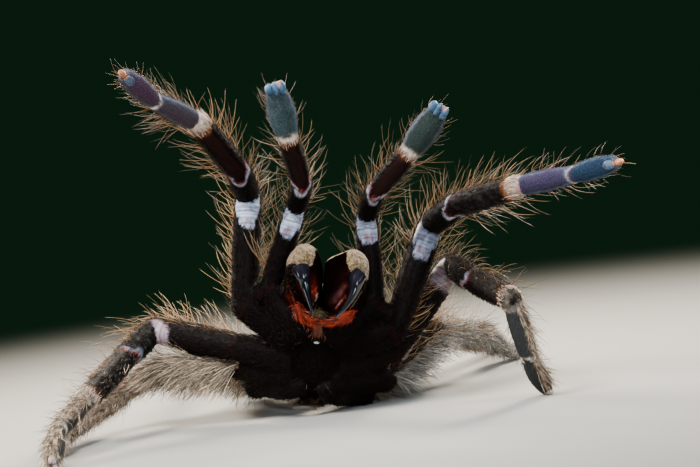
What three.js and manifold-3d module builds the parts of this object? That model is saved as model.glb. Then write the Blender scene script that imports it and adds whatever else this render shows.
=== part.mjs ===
// Museum model of a large tree-and-burrow tarantula rearing in its threat display.
// Millimetres, +Z up. The animal faces -Y, so its right side is the -X side.
// The front legs and palps are raised; the other six feet and the abdomen rest at z = 0.

import * as THREE from 'three';
import { mergeVertices } from 'three/addons/utils/BufferGeometryUtils.js';
import Module from 'manifold-3d';

const wasm = await Module();
wasm.setup();

// ---------- driving dimensions ----------

const GAP = 0.3; // clear space between neighbouring pieces
const WELD = 1e-4; // vertices closer than this are one vertex
const CUTTER = 24; // side of the boxes that trim a limb at a joint
const GROUND_CUTTER = 200; // side of the box that flattens what stands on the ground

const SIDES = 9; // facets round a limb
const BELLY_STEPS = 2; // lengthwise steps between the two ends of a limb piece
const FOOT_STEPS = 3; // the same for a foot
const DOME_STEPS = 2; // steps of a rounded limb end
const STRAIGHT_BEND = THREE.MathUtils.degToRad(42); // a joint that bends less is mitred
const STUB_SPARE = 1.3; // how much longer than the mitre needs a stub is

// The prosoma (head and thorax in one) rears up and leans a little to its left.
const PROSOMA_CENTRE = [0.9, 0, 11.2];
const PROSOMA_HEADING = 23;
const PROSOMA_RISE = 58;

const CARAPACE = { length: 20, width: 17, above: 5.2, below: 2.4, headNarrowing: 0.3 };
const STERNUM = { length: 9.6, width: 7.8, thickness: 2.4, forward: -1.6, depth: 3.1 };
const LABIUM = { length: 2.6, width: 2.8, thickness: 2, forward: 4, depth: 3.4 };

const EYE_MOUND = { length: 1.7, width: 2.8, height: 1.6, forward: 8.3, depth: -2.9 };
const EYES = [
  // sideways, forward and radius of the eyes of one side, from the middle outwards
  [0.42, 0.3, 0.3],
  [1.02, 0.52, 0.28],
  [0.78, -0.35, 0.2],
  [1.12, -0.3, 0.24],
];

const CHELICERA = { length: 12, width: 6.4, height: 7, forward: 5.6, sideways: 3, fullness: 0.74 };
const SPLAY = { right: 3.5, left: 6.5 }; // how far each chelicera turns outwards
const FANG = { base: 1.4, tip: 0.12, taper: 0.72 };
// Places along, outwards from and below the chelicera's axis of each fang's root, bow and point.
const FANG_ROUTES = {
  right: [[10.3, -0.1, 3.4], [8.4, -1.25, 6.8], [5.1, -2.6, 8.8]],
  left: [[10.3, 1.05, 3.4], [8.4, 1.3, 6.8], [5.3, -1.4, 8.8]],
};

const ABDOMEN = { length: 27, width: 17.5, height: 15, heading: 176, rise: 9, sink: 0.35 };
const ABDOMEN_FRONT = [-1.4, 9.3];
// The egg of the abdomen: how blunt its ends are, and how wide it is in front and how much wider behind.
const EGG = { bluntness: 0.9, front: 0.413, widening: 0.159 };
const PEDICEL = { widths: [2.3, 2.3, 2.3], inset: 0.4, reach: 3 };
const SPINNERET = {
  length: 4.5, widths: [1.7, 1.5, 1], sideways: 1.7, gap: 0.75, rise: 14, spread: 16,
};

// Limb pieces: length, then width at the near end, the middle and the far end, and how
// high the section is for its width.
const LEG_PIECES = {
  femur: { length: 17.5, widths: [3.9, 4.4, 4.1], flatness: 1.1 },
  patella: { length: 9, widths: [4.1, 4.2, 3.9], flatness: 1 },
  tibia: { length: 12.5, widths: [3.8, 4, 3.4], flatness: 1 },
  metatarsus: { length: 10.5, widths: [3.2, 3.5, 3.1], flatness: 0.88 },
  tarsus: { length: 7.2, widths: [2.9, 3.4, 2.6], flatness: 0.82 },
};
const PALP_PIECES = {
  femur: { length: 12.5, widths: [3.2, 3.5, 3.3], flatness: 1.1 },
  patella: { length: 7, widths: [3.3, 3.4, 3.2], flatness: 1 },
  tibia: { length: 9, widths: [3.1, 3.4, 3.3], flatness: 1 },
  tarsus: { length: 7.6, widths: [3.5, 4.5, 3.7], flatness: 0.72 },
};
// How long and how stout each leg is for the first leg.
const LEG_BUILD = {
  1: { lengths: [1, 1, 1, 1, 1], stoutness: 1 },
  2: { lengths: [0.92, 0.94, 0.96, 0.92, 1], stoutness: 1.07 },
  3: { lengths: [0.78, 0.84, 0.78, 0.92, 0.95], stoutness: 0.95 },
  4: { lengths: [0.92, 0.9, 1.02, 1.25, 1], stoutness: 0.97 },
};
const COXA = { widths: [5.4, 5.3, 4.3], inner: 4.4, depth: 1.9, crowding: 0.62 };
const PALP_COXA_STOUTNESS = 0.82;
const MAXILLA = { widths: [4.2, 4.2, 4.2], forward: [4.2, 7.2], sideways: 3.2, depth: 3 };
const TUFT = { radius: 0.31, spread: 0.26, reach: 0.05 };
const FOOT_HEIGHT = 0.8; // how high the middle of a standing foot's tip is above the ground

// The pose. A hip is a place on the prosoma: forward, sideways, ventral. Each piece points
// along a heading, from 0 straight ahead to 90 straight out and 180 straight back, and a
// rise above the level. A standing tarsus has only its heading: it reaches down to the ground.
const POSE = {
  leg_1_right: {
    hip: [5.8, 11.8, 0],
    angles: [[-151, 71], [4, 27], [30, 41], [32, 21], [38, 37]],
  },
  leg_1_left: {
    hip: [5, 11.8, 1.4],
    angles: [[116, 61], [27, 19], [47, 9], [47, 5], [60, 9]],
  },
  leg_2_right: {
    hip: [-2, 12.3, 0],
    angles: [[123, 13], [32, -20], [34, -25], [24, -19], [5]],
  },
  leg_2_left: {
    hip: [-0.9, 12.2, -2.5],
    angles: [[94, 48], [20, -16], [23, -13], [140, -75], [151]],
  },
  leg_3_right: {
    hip: [-6, 11.5, -0.5],
    angles: [[112, 4], [117, -23], [52, -22], [18, -7], [2]],
  },
  leg_3_left: {
    hip: [-6, 11.5, -1.5],
    angles: [[134, 24], [163, -11], [137, -9], [160, -25], [142]],
  },
  leg_4_right: {
    hip: [-9.6, 9.2, -2],
    angles: [[164, 12], [166, -5], [168, -14], [170, -12], [170]],
  },
  leg_4_left: {
    hip: [-9.6, 8.4, -2.9],
    angles: [[140, 24], [151, 5], [157, -22], [160, -11], [158]],
  },
  palp_right: {
    hip: [9, 8, -1.2],
    angles: [[-96, 64], [-17, 35], [13, 55], [15, 66]],
  },
  palp_left: {
    hip: [9, 8, -1.2],
    angles: [[163, 83], [18, 33], [57, 38], [63, 45]],
  },
};

// ---------- finishes ----------

const FINISHES = {
  velvet: { color: 0x17110f, roughness: 0.9, metalness: 0 },
  pale: { color: 0x9b8570, roughness: 0.9, metalness: 0 },
  scopula: { color: 0x5d6484, roughness: 0.6, metalness: 0.1 },
  chelicera: { color: 0x4a3126, roughness: 0.7, metalness: 0 },
  fang: { color: 0x0b0c12, roughness: 0.15, metalness: 0 },
  eye: { color: 0x101014, roughness: 0.05, metalness: 0 },
  abdomen: { color: 0x4a3a2c, roughness: 0.95, metalness: 0 },
};

// ---------- vectors and solids ----------

const FORWARDS = new THREE.Vector3(0, -1, 0);

const vector = (place) => new THREE.Vector3(...place);

/** The unit vector at a heading from -Y towards a side, and a rise above the level. */
function direction(heading, rise, side = 1) {
  const turn = THREE.MathUtils.degToRad(heading);
  const lift = THREE.MathUtils.degToRad(rise);
  const level = Math.cos(lift);
  return new THREE.Vector3(side * Math.sin(turn) * level, -Math.cos(turn) * level, Math.sin(lift));
}

/** The part of a vector that is square to an axis, as a unit vector. */
function squareTo(axis, wanted) {
  return wanted.clone().addScaledVector(axis, -wanted.dot(axis)).normalize();
}

/** A closed solid from a geometry, with its doubled vertices and slivers dropped. */
function solidOf(geometry) {
  const bare = geometry.clone();
  bare.deleteAttribute('normal');
  bare.deleteAttribute('uv');
  const welded = mergeVertices(bare, WELD);
  const index = welded.index.array;
  const corners = [];
  for (let i = 0; i < index.length; i += 3) {
    const [a, b, c] = [index[i], index[i + 1], index[i + 2]];
    if (a !== b && b !== c && c !== a) corners.push(a, b, c);
  }
  return new wasm.Manifold(new wasm.Mesh({
    numProp: 3,
    vertProperties: new Float32Array(welded.attributes.position.array),
    triVerts: new Uint32Array(corners),
  }));
}

/** The geometry of a solid, with flat facets. */
function geometryOf(solid) {
  const mesh = solid.getMesh();
  const geometry = new THREE.BufferGeometry();
  geometry.setAttribute('position', new THREE.BufferAttribute(new Float32Array(mesh.vertProperties), 3));
  geometry.setIndex(new THREE.BufferAttribute(new Uint32Array(mesh.triVerts), 1));
  geometry.computeVertexNormals();
  return geometry;
}

/** Moves each vertex of a geometry by a rule. */
function reshape(geometry, rule) {
  const places = geometry.attributes.position;
  const point = new THREE.Vector3();
  for (let i = 0; i < places.count; i += 1) {
    point.fromBufferAttribute(places, i);
    rule(point);
    places.setXYZ(i, point.x, point.y, point.z);
  }
  return geometry;
}

/** A box that holds everything on the far side of a plane, for trimming. */
function beyond(point, outward, size = CUTTER) {
  const box = new THREE.BoxGeometry(size, size, size);
  box.translate(0, 0, size / 2);
  const turn = new THREE.Quaternion().setFromUnitVectors(new THREE.Vector3(0, 0, 1), outward);
  box.applyQuaternion(turn);
  box.translate(point.x, point.y, point.z);
  return solidOf(box);
}

const belowGround = beyond(new THREE.Vector3(), new THREE.Vector3(0, 0, -1), GROUND_CUTTER);

// ---------- the prosoma's own frame ----------

const forward = direction(PROSOMA_HEADING, PROSOMA_RISE);
const ventral = squareTo(forward, FORWARDS);
const sideways = forward.clone().cross(ventral);
const prosomaFrame = new THREE.Matrix4()
  .makeBasis(sideways, forward, ventral)
  .setPosition(vector(PROSOMA_CENTRE));

const onProsoma = (ahead, aside, below) => new THREE.Vector3(aside, ahead, below).applyMatrix4(prosomaFrame);

/** An ellipsoid in the prosoma's frame, from full width, length and height. */
function ellipsoid(width, length, height, place, detail = [10, 6]) {
  const ball = new THREE.SphereGeometry(0.5, ...detail);
  ball.scale(width, length, height);
  ball.translate(...place);
  return ball;
}

// ---------- the prosoma ----------

/** The carapace: an oval dome, narrower at the head, with a shallower underside. */
function carapaceSolid(grow = 0) {
  const ball = new THREE.SphereGeometry(1, 13, 8);
  reshape(ball, (point) => {
    const head = THREE.MathUtils.smoothstep(point.y, 0.1, 1);
    point.x *= (CARAPACE.width / 2 + grow) * (1 - CARAPACE.headNarrowing * head);
    point.y *= CARAPACE.length / 2 + grow;
    point.z *= (point.z < 0 ? CARAPACE.above : CARAPACE.below) + grow;
  });
  return solidOf(ball.applyMatrix4(prosomaFrame));
}

/** The plate between the coxae, with the lip in front of it. */
function sternumSolid(grow = 0) {
  const more = 2 * grow;
  const plate = ellipsoid(
    STERNUM.width + more, STERNUM.length + more, STERNUM.thickness + more,
    [0, STERNUM.forward, STERNUM.depth],
  );
  const lip = ellipsoid(
    LABIUM.width + more, LABIUM.length + more, LABIUM.thickness + more,
    [0, LABIUM.forward, LABIUM.depth], [8, 5],
  );
  return solidOf(plate.applyMatrix4(prosomaFrame)).add(solidOf(lip.applyMatrix4(prosomaFrame)));
}

/** The low mound near the front of the carapace that bears the eight eyes. */
function eyeGroupSolid() {
  const mound = ellipsoid(
    EYE_MOUND.width, EYE_MOUND.length, EYE_MOUND.height,
    [0, EYE_MOUND.forward, EYE_MOUND.depth], [7, 4],
  );
  let group = solidOf(mound.applyMatrix4(prosomaFrame));
  for (const [aside, ahead, radius] of EYES) {
    const across = 1 - (2 * aside / EYE_MOUND.width) ** 2 - (2 * ahead / EYE_MOUND.length) ** 2;
    const top = EYE_MOUND.depth - EYE_MOUND.height / 2 * Math.sqrt(Math.max(across, 0));
    for (const side of [-1, 1]) {
      const ball = ellipsoid(
        2 * radius, 2 * radius, 2 * radius,
        [side * aside, EYE_MOUND.forward + ahead, top], [5, 3],
      );
      group = group.add(solidOf(ball.applyMatrix4(prosomaFrame)));
    }
  }
  return group;
}

// ---------- chelicerae and fangs ----------

const splayOf = (side) => THREE.MathUtils.degToRad(side < 0 ? SPLAY.right : SPLAY.left);

/** A place beside a chelicera's axis, counted from its base. */
function onChelicera(side, [along, outwards, below]) {
  const splay = splayOf(side);
  const ahead = CHELICERA.forward + along * Math.cos(splay) - outwards * Math.sin(splay);
  const aside = CHELICERA.sideways + along * Math.sin(splay) + outwards * Math.cos(splay);
  return onProsoma(ahead, side * aside, below);
}

/** A fang: a cone bent along its route. */
function fangSolid(side, grow = 0) {
  const places = side < 0 ? FANG_ROUTES.right : FANG_ROUTES.left;
  const route = new THREE.QuadraticBezierCurve3(...places.map((place) => onChelicera(side, place)));
  const steps = 5;
  const outline = [new THREE.Vector2(0, -grow / 4)];
  for (let i = 0; i <= steps; i += 1) {
    const along = i / steps;
    const radius = THREE.MathUtils.lerp(FANG.base, FANG.tip, along ** FANG.taper);
    outline.push(new THREE.Vector2(radius + grow, along));
  }
  outline.push(new THREE.Vector2(0, 1.01 + grow / 8));
  const cone = new THREE.LatheGeometry(outline, 8);
  const [root, bow, point] = [route.v0, route.v1, route.v2];
  const planeNormal = bow.clone().sub(root).cross(point.clone().sub(root)).normalize();
  return solidOf(reshape(cone, (at) => {
    const along = THREE.MathUtils.clamp(at.y, 0, 1);
    const tangent = route.getTangent(along);
    const bend = planeNormal.clone().cross(tangent);
    const centre = route.getPoint(along).addScaledVector(tangent, (at.y - along) * 10);
    at.copy(centre.addScaledVector(planeNormal, -at.x).addScaledVector(bend, -at.z));
  }));
}

/** A chelicera: a stout rounded segment, flat towards its twin, grooved for its fang. */
function cheliceraSolid(side, grow = 0) {
  const outline = [];
  const steps = 7;
  for (let i = 0; i <= steps; i += 1) {
    const turn = Math.PI * (i / steps - 0.5);
    const along = Math.sign(turn) * Math.abs(Math.sin(turn)) ** CHELICERA.fullness;
    const radius = i % steps === 0 ? 0 : Math.cos(turn) ** CHELICERA.fullness;
    outline.push(new THREE.Vector2(radius, along));
  }
  const body = new THREE.LatheGeometry(outline, 10);
  body.scale(CHELICERA.width / 2 + grow, CHELICERA.length / 2 + grow, CHELICERA.height / 2 + grow);
  body.translate(0, CHELICERA.length / 2, 0);
  body.rotateZ(-side * splayOf(side));
  body.translate(side * CHELICERA.sideways, CHELICERA.forward, 0);
  const twinPlane = onProsoma(CHELICERA.forward, side * (GAP / 2 - grow), 0);
  return solidOf(body.applyMatrix4(prosomaFrame))
    .subtract(beyond(twinPlane, sideways.clone().multiplyScalar(-side), 2 * CUTTER));
}

// ---------- limbs ----------

/** The width of a limb piece at a share of its length, through its three widths. */
function widthAt([near, middle, far], share) {
  const nearPart = near * (2 * share - 1) * (share - 1);
  const middlePart = 4 * middle * share * (1 - share);
  const farPart = far * share * (2 * share - 1);
  return nearPart + middlePart + farPart;
}

/** The outline of a limb's end: a dome, or a stub to be mitred; sign is -1 at the near end. */
function endOutline(sign, base, radius, bulge) {
  if (bulge === 0) {
    const stub = base + sign * STUB_SPARE * radius * Math.tan(STRAIGHT_BEND / 2);
    return [new THREE.Vector2(radius, stub), new THREE.Vector2(0, stub)];
  }
  const outline = [new THREE.Vector2(radius, base)];
  for (let i = 1; i <= DOME_STEPS; i += 1) {
    const turn = Math.PI / 2 * (i / DOME_STEPS);
    const ring = i === DOME_STEPS ? 0 : radius * Math.cos(turn);
    outline.push(new THREE.Vector2(ring, base + sign * bulge * radius * Math.sin(turn)));
  }
  return outline;
}

/**
 * A limb piece through its joints, with three widths for each stretch between them. It may
 * bend at a joint inside it. Each end is a dome (bulge 1), a flatter dome or a stub (0).
 */
function limbPiece({ places, widths, below, flatness = 1, steps = BELLY_STEPS, bulges = [1, 1] }) {
  const stretches = [];
  let total = 0;
  widths.forEach((_, i) => {
    const axis = places[i + 1].clone().sub(places[i]);
    const length = axis.length();
    axis.normalize();
    const down = squareTo(axis, below);
    stretches.push({ from: places[i], begins: total, length, axis, down, across: axis.clone().cross(down) });
    total += length;
  });

  const outline = endOutline(-1, 0, widths[0][0] / 2, bulges[0]).reverse();
  stretches.forEach(({ begins, length }, i) => {
    if (i > 0) outline.push(new THREE.Vector2((widths[i - 1][2] + widths[i][0]) / 4, begins));
    for (let step = 1; step < steps; step += 1) {
      const share = step / steps;
      outline.push(new THREE.Vector2(widthAt(widths[i], share) / 2, begins + share * length));
    }
  });
  outline.push(...endOutline(1, total, widths.at(-1)[2] / 2, bulges[1]));

  const place = (stretch, point) => stretch.from.clone()
    .addScaledVector(stretch.axis, point.y - stretch.begins)
    .addScaledVector(stretch.across, point.x)
    .addScaledVector(stretch.down, point.z * flatness);
  return solidOf(reshape(new THREE.LatheGeometry(outline, SIDES), (point) => {
    const ahead = place(stretches.findLast(({ begins }, i) => i === 0 || point.y > begins - WELD), point);
    const behind = place(stretches.findLast(({ begins }, i) => i === 0 || point.y > begins + WELD), point);
    point.copy(ahead.lerp(behind, 0.5));
  }));
}

/** The plane that parts two pieces at their joint, facing along both, and if it is rounded. */
function joint(place, before, after) {
  const bulge = before.angleTo(after) > STRAIGHT_BEND ? 1 : 0;
  return { place, normal: before.clone().add(after).normalize(), bulge };
}

/** Trims a solid where it passes a joint, on its outer (1) or inner (-1) side. */
function trimAt(solid, { place, normal }, end) {
  const face = place.clone().addScaledVector(normal, -end * GAP / 2);
  return solid.subtract(beyond(face, normal.clone().multiplyScalar(end)));
}

/** The two-lobed pad round the claws at a limb's tip. */
function clawTuft(ankle, tip, width, flexion) {
  const axis = tip.clone().sub(ankle).normalize();
  const below = squareTo(axis, flexion);
  const across = axis.clone().cross(below);
  let pad = null;
  for (const lobe of [-1, 1]) {
    const ball = new THREE.SphereGeometry(width * TUFT.radius, 5, 3);
    const centre = tip.clone()
      .addScaledVector(across, lobe * width * TUFT.spread)
      .addScaledVector(axis, width * TUFT.reach);
    ball.translate(centre.x, centre.y, centre.z);
    pad = pad ? pad.add(solidOf(ball)) : solidOf(ball);
  }
  return pad;
}

/** The joints, directions and flexing side of a limb, from its pose. */
function layOut(name, pieces, lengths) {
  const side = name.endsWith('right') ? -1 : 1;
  const { hip: [ahead, aside, below], angles } = POSE[name];
  const joints = [onProsoma(ahead, side * aside, below)];
  const ways = [];
  pieces.forEach(([, piece], i) => {
    const from = joints[i];
    const reach = piece.length * lengths[i];
    const [heading, rise] = angles[i];
    const drop = THREE.MathUtils.radToDeg(Math.asin((FOOT_HEIGHT - from.z) / reach));
    ways.push(direction(heading, rise ?? drop, side));
    joints.push(from.clone().addScaledVector(ways[i], reach));
  });
  const stands = angles.at(-1).length === 1;
  const flexion = ways[2].clone().sub(ways[0]);
  return { side, joints, ways, flexion, sole: stands ? flexion : FORWARDS, stands };
}

// ---------- putting the animal together ----------

const animal = new THREE.Group();
animal.name = 'tarantula';

function addPiece(name, solid, finish) {
  const material = new THREE.MeshStandardMaterial(FINISHES[finish]);
  const mesh = new THREE.Mesh(geometryOf(solid), material);
  mesh.name = name;
  animal.add(mesh);
}

const SIDE_NAMES = [['right', -1], ['left', 1]];
const grownCarapace = carapaceSolid(GAP);
const grownSternum = sternumSolid(GAP);
const grownChelicerae = cheliceraSolid(-1, GAP).add(cheliceraSolid(1, GAP));

addPiece('carapace', carapaceSolid(), 'velvet');
addPiece('sternum', sternumSolid().subtract(grownCarapace), 'velvet');
addPiece('eye_group', eyeGroupSolid().subtract(grownCarapace), 'eye');

for (const [sideName, side] of SIDE_NAMES) {
  addPiece(
    `chelicera_${sideName}`,
    cheliceraSolid(side).subtract(grownCarapace).subtract(fangSolid(side, GAP)),
    'chelicera',
  );
  addPiece(`fang_${sideName}`, fangSolid(side), 'fang');
}

/** The inner end of a coxa, beside the sternum. */
function coxaRoot(hip, side) {
  return onProsoma(
    hip[0] * COXA.crowding + STERNUM.forward * (1 - COXA.crowding),
    side * COXA.inner,
    COXA.depth,
  );
}

/** The plane between two neighbouring coxae, facing forwards. */
function between(rearLimb, frontLimb, side) {
  const [rear, front] = [rearLimb, frontLimb].map((limb) => ({ root: limb.root, hip: limb.joints[0] }));
  const innerMiddle = rear.root.clone().lerp(front.root, 0.5);
  const outerMiddle = rear.hip.clone().lerp(front.hip, 0.5);
  const along = outerMiddle.clone().sub(innerMiddle).normalize();
  const normal = along.clone().cross(ventral).multiplyScalar(side).normalize();
  if (normal.dot(forward) < 0) normal.negate();
  return { place: innerMiddle, normal };
}

/** All the limbs of one side, front to rear: the palp and the four legs. */
function limbsOf(sideName, side) {
  const palp = layOut(`palp_${sideName}`, Object.entries(PALP_PIECES), [1, 1, 1, 1]);
  const limbs = [{
    name: `palp_${sideName}`, pieces: Object.entries(PALP_PIECES), stoutness: 1, ...palp,
  }];
  for (const number of [1, 2, 3, 4]) {
    const name = `leg_${number}_${sideName}`;
    const { lengths, stoutness } = LEG_BUILD[number];
    const pieces = Object.entries(LEG_PIECES);
    limbs.push({ name, pieces, stoutness, ...layOut(name, pieces, lengths) });
  }
  for (const limb of limbs) limb.root = coxaRoot(POSE[limb.name].hip, side);
  return limbs;
}

/** The coxa and trochanter of a limb; a palp's coxa also bears the maxilla. */
function coxaSolid(limb, inFront, behind, side) {
  const hip = limb.joints[0];
  const isPalp = limb.name.startsWith('palp');
  const stoutness = isPalp ? PALP_COXA_STOUTNESS : 1;
  const widths = COXA.widths.map((width) => width * stoutness);
  let coxa = limbPiece({ places: [limb.root, hip], widths: [widths], below: ventral, bulges: [0, 1] });
  if (isPalp) {
    const places = MAXILLA.forward.map(
      (ahead) => onProsoma(ahead, side * MAXILLA.sideways, MAXILLA.depth),
    );
    coxa = coxa.add(limbPiece({ places, widths: [MAXILLA.widths], below: ventral }));
    coxa = coxa.subtract(beyond(
      onProsoma(0, side * GAP / 2, 0), sideways.clone().multiplyScalar(-side), 2 * CUTTER,
    ));
  }
  coxa = coxa.subtract(grownCarapace).subtract(grownSternum).subtract(grownChelicerae);
  if (inFront) coxa = trimAt(coxa, between(limb, inFront, side), 1);
  if (behind) coxa = trimAt(coxa, between(behind, limb, side), -1);
  const inward = hip.clone().sub(limb.root).normalize();
  return trimAt(coxa, joint(hip, inward, limb.ways[0]), 1);
}

/** One node for each piece of a limb; a leg's metatarsus and tarsus make its foot. */
function addLimb(limb, inFront, behind) {
  const { name, side, joints, ways, root, pieces, stoutness } = limb;
  addPiece(`${name}_coxa`, coxaSolid(limb, inFront, behind, side), 'velvet');
  const isPalp = name.startsWith('palp');
  const finish = /_[34]_/.test(name) ? 'pale' : 'velvet';
  const inward = joints[0].clone().sub(root).normalize();
  const shapes = pieces.map(([, piece]) => piece.widths.map((width) => width * stoutness));

  for (const [i, [pieceName, { flatness }]] of pieces.slice(0, 3).entries()) {
    const near = joint(joints[i], ways[i - 1] ?? inward, ways[i]);
    const far = joint(joints[i + 1], ways[i], ways[i + 1]);
    const places = joints.slice(i, i + 2);
    const bulges = [near.bulge, far.bulge];
    const whole = limbPiece({ places, widths: [shapes[i]], below: limb.flexion, flatness, bulges });
    const piece = trimAt(trimAt(whole, near, -1), far, 1);
    const besideJaw = isPalp && pieceName === 'femur';
    addPiece(`${name}_${pieceName}`, besideJaw ? piece.subtract(grownChelicerae) : piece, finish);
  }

  const places = joints.slice(3);
  const widths = shapes.slice(3);
  const { flatness } = pieces.at(-1)[1];
  const near = joint(places[0], ways[2], ways[3]);
  const bulges = [near.bulge, 0];
  const below = limb.sole;
  let foot = limbPiece({ places, widths, below, flatness, bulges, steps: FOOT_STEPS });
  foot = foot.add(clawTuft(places.at(-2), places.at(-1), widths.at(-1)[2], below));
  foot = trimAt(foot, near, -1);
  addPiece(`${name}_${isPalp ? 'tarsus' : 'foot'}`, limb.stands ? foot.subtract(belowGround) : foot, 'scopula');
}

for (const [sideName, side] of SIDE_NAMES) {
  const limbs = limbsOf(sideName, side);
  limbs.forEach((limb, i) => addLimb(limb, limbs[i - 1], limbs[i + 1]));
}

// ---------- the abdomen ----------

/** The abdomen: an egg, narrow in front, that rests on the ground, with its stalk. */
function layAbdomen() {
  const outline = [];
  const steps = 8;
  for (let i = 0; i <= steps; i += 1) {
    const turn = Math.PI * i / steps;
    const along = (1 - Math.cos(turn)) / 2;
    const fullness = Math.sin(turn) ** EGG.bluntness * (EGG.front + EGG.widening * along);
    outline.push(new THREE.Vector2(i % steps === 0 ? 0 : fullness, along));
  }
  const axis = direction(ABDOMEN.heading, ABDOMEN.rise);
  const below = squareTo(axis, new THREE.Vector3(0, 0, -1));
  const across = axis.clone().cross(below);
  const egg = new THREE.LatheGeometry(outline, 12);
  egg.scale(ABDOMEN.width, ABDOMEN.length, ABDOMEN.height);
  egg.applyMatrix4(new THREE.Matrix4().makeBasis(across, axis, below));
  egg.computeBoundingBox();
  const front = vector([...ABDOMEN_FRONT, -ABDOMEN.sink - egg.boundingBox.min.z]);
  egg.translate(front.x, front.y, front.z);
  const stalkStart = onProsoma(PEDICEL.inset - CARAPACE.length / 2, 0, 0);
  const stalkEnd = front.clone().addScaledVector(axis, PEDICEL.reach);
  const stalk = limbPiece({ places: [stalkStart, stalkEnd], widths: [PEDICEL.widths], below });
  const rear = front.clone().addScaledVector(axis, ABDOMEN.length);
  return { solid: solidOf(egg).add(stalk).subtract(belowGround), axis, below, across, rear };
}

const abdomen = layAbdomen();
addPiece('abdomen', abdomen.solid.subtract(grownCarapace), 'abdomen');

for (const [sideName, side] of SIDE_NAMES) {
  const start = abdomen.rear.clone()
    .addScaledVector(abdomen.across, -side * SPINNERET.sideways)
    .addScaledVector(abdomen.axis, SPINNERET.gap);
  const way = direction(180 - side * SPINNERET.spread, SPINNERET.rise);
  const end = start.clone().addScaledVector(way, SPINNERET.length);
  const finger = limbPiece({ places: [start, end], widths: [SPINNERET.widths], below: abdomen.below });
  addPiece(`spinneret_${sideName}`, finger, 'abdomen');
}

// ---------- the model's own frame: the middle of its box, on the ground ----------

const box = new THREE.Box3().setFromObject(animal);
animal.position.set(-(box.min.x + box.max.x) / 2, -(box.min.y + box.max.y) / 2, 0);

export default animal;
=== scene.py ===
# %% [markdown]
# # A tarantula in its threat display
# The construction model gives every limb piece its place and its outline. This script dresses it:
# one skin over all the flesh, jaws, fangs and eyes of their own, and a coat of many small tufts.
# All lengths are in metres, and every place is measured on the construction model's own pieces.

# %% The frame
from math import cos, pi, radians, sin, tau

import bmesh
import bpy
import numpy as np
from mathutils import Matrix, Vector


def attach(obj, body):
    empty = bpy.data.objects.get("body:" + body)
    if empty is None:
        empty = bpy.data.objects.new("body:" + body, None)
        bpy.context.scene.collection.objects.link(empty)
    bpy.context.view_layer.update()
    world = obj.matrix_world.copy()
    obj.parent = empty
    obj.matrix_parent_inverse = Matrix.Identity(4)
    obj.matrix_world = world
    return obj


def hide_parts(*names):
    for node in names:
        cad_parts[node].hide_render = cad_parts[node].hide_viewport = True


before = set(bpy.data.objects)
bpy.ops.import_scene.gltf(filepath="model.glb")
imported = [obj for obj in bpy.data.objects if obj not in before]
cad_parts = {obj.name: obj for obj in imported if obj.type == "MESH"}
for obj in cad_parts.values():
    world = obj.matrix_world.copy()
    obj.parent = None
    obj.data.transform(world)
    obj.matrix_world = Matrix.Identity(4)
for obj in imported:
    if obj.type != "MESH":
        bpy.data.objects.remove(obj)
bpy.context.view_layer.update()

mm = 0.001
draws = np.random.default_rng(11)


# %% [markdown]
# ## The camera
# A portrait lens from a third of a metre away looks almost level at the animal, which rears up to
# face it. The camera leans a little, as the animal stood on a slope and here stands on the flat.

# %% The camera
CAMERA_PLACE = Vector((5.02, -334.0, 44.3)) * mm
CAMERA_DROP = radians(3.0)
CAMERA_LEAN = radians(7.5)
LENS = 105.0

camera = bpy.data.objects.new("camera", bpy.data.cameras.new("camera"))
camera.data.lens = LENS
camera.data.clip_start = 10 * mm
bpy.context.scene.collection.objects.link(camera)
bpy.context.scene.camera = camera
level = Matrix.Rotation(pi / 2 - CAMERA_DROP, 4, "X")
camera.matrix_world = Matrix.Translation(CAMERA_PLACE) @ level @ Matrix.Rotation(-CAMERA_LEAN, 4, "Z")
print("camera at", CAMERA_PLACE[:])


# %% [markdown]
# ## Measuring the pieces
# Each limb piece ends in flat cuts. Two facing cuts give a joint, and planes across a piece give
# its girth. So the skin follows the construction model without repeating its numbers.

# %% Joints and girths
def unit(vectors):
    """Vectors of length one, along the last axis."""
    vectors = np.asarray(vectors, float)
    return vectors / np.maximum(np.linalg.norm(vectors, axis=-1, keepdims=True), 1e-12)


def square_to(axis, wanted):
    """The part of a vector that is square to an axis, as a unit vector."""
    wanted = np.asarray(wanted, float)
    return unit(wanted - np.dot(wanted, axis) * axis)


def node_triangles(name):
    """The corners of a node's triangles, three by three."""
    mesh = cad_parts[name].data
    mesh.calc_loop_triangles()
    places = np.array([vertex.co for vertex in mesh.vertices])
    return places[np.array([triangle.vertices for triangle in mesh.loop_triangles])]


triangles = {name: node_triangles(name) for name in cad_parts}


def flat_faces(name):
    """Unit normals, areas and centres of a node's triangles."""
    corners = triangles[name]
    crossed = np.cross(corners[:, 1] - corners[:, 0], corners[:, 2] - corners[:, 0])
    return unit(crossed), np.linalg.norm(crossed, axis=1) / 2, corners.mean(1)


JOINT_GAP = (0.2 * mm, 0.4 * mm)
JOINT_REACH = 5 * mm
OPPOSED = -0.9995
CUT_LEVEL = 0.02 * mm
CUT_FACING = 0.999


def facing_cap(name, neighbour):
    """The middle of the flat cut with which a piece faces its neighbour."""
    normals, areas, centres = flat_faces(name)
    other_normals, other_areas, other_centres = flat_faces(neighbour)
    across = other_centres[None] - centres[:, None]
    gaps = np.einsum("ijk,ik->ij", across, normals)
    opposed = normals @ other_normals.T < OPPOSED
    near = (gaps > JOINT_GAP[0]) & (gaps < JOINT_GAP[1]) & (np.linalg.norm(across, axis=2) < JOINT_REACH)
    facing = np.where(opposed & near, areas[:, None] * other_areas[None], 0).sum(1)
    best = facing.argmax()
    level_with = abs((centres - centres[best]) @ normals[best]) < CUT_LEVEL
    cap = level_with & (normals @ normals[best] > CUT_FACING)
    return np.average(centres[cap], axis=0, weights=areas[cap])


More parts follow.
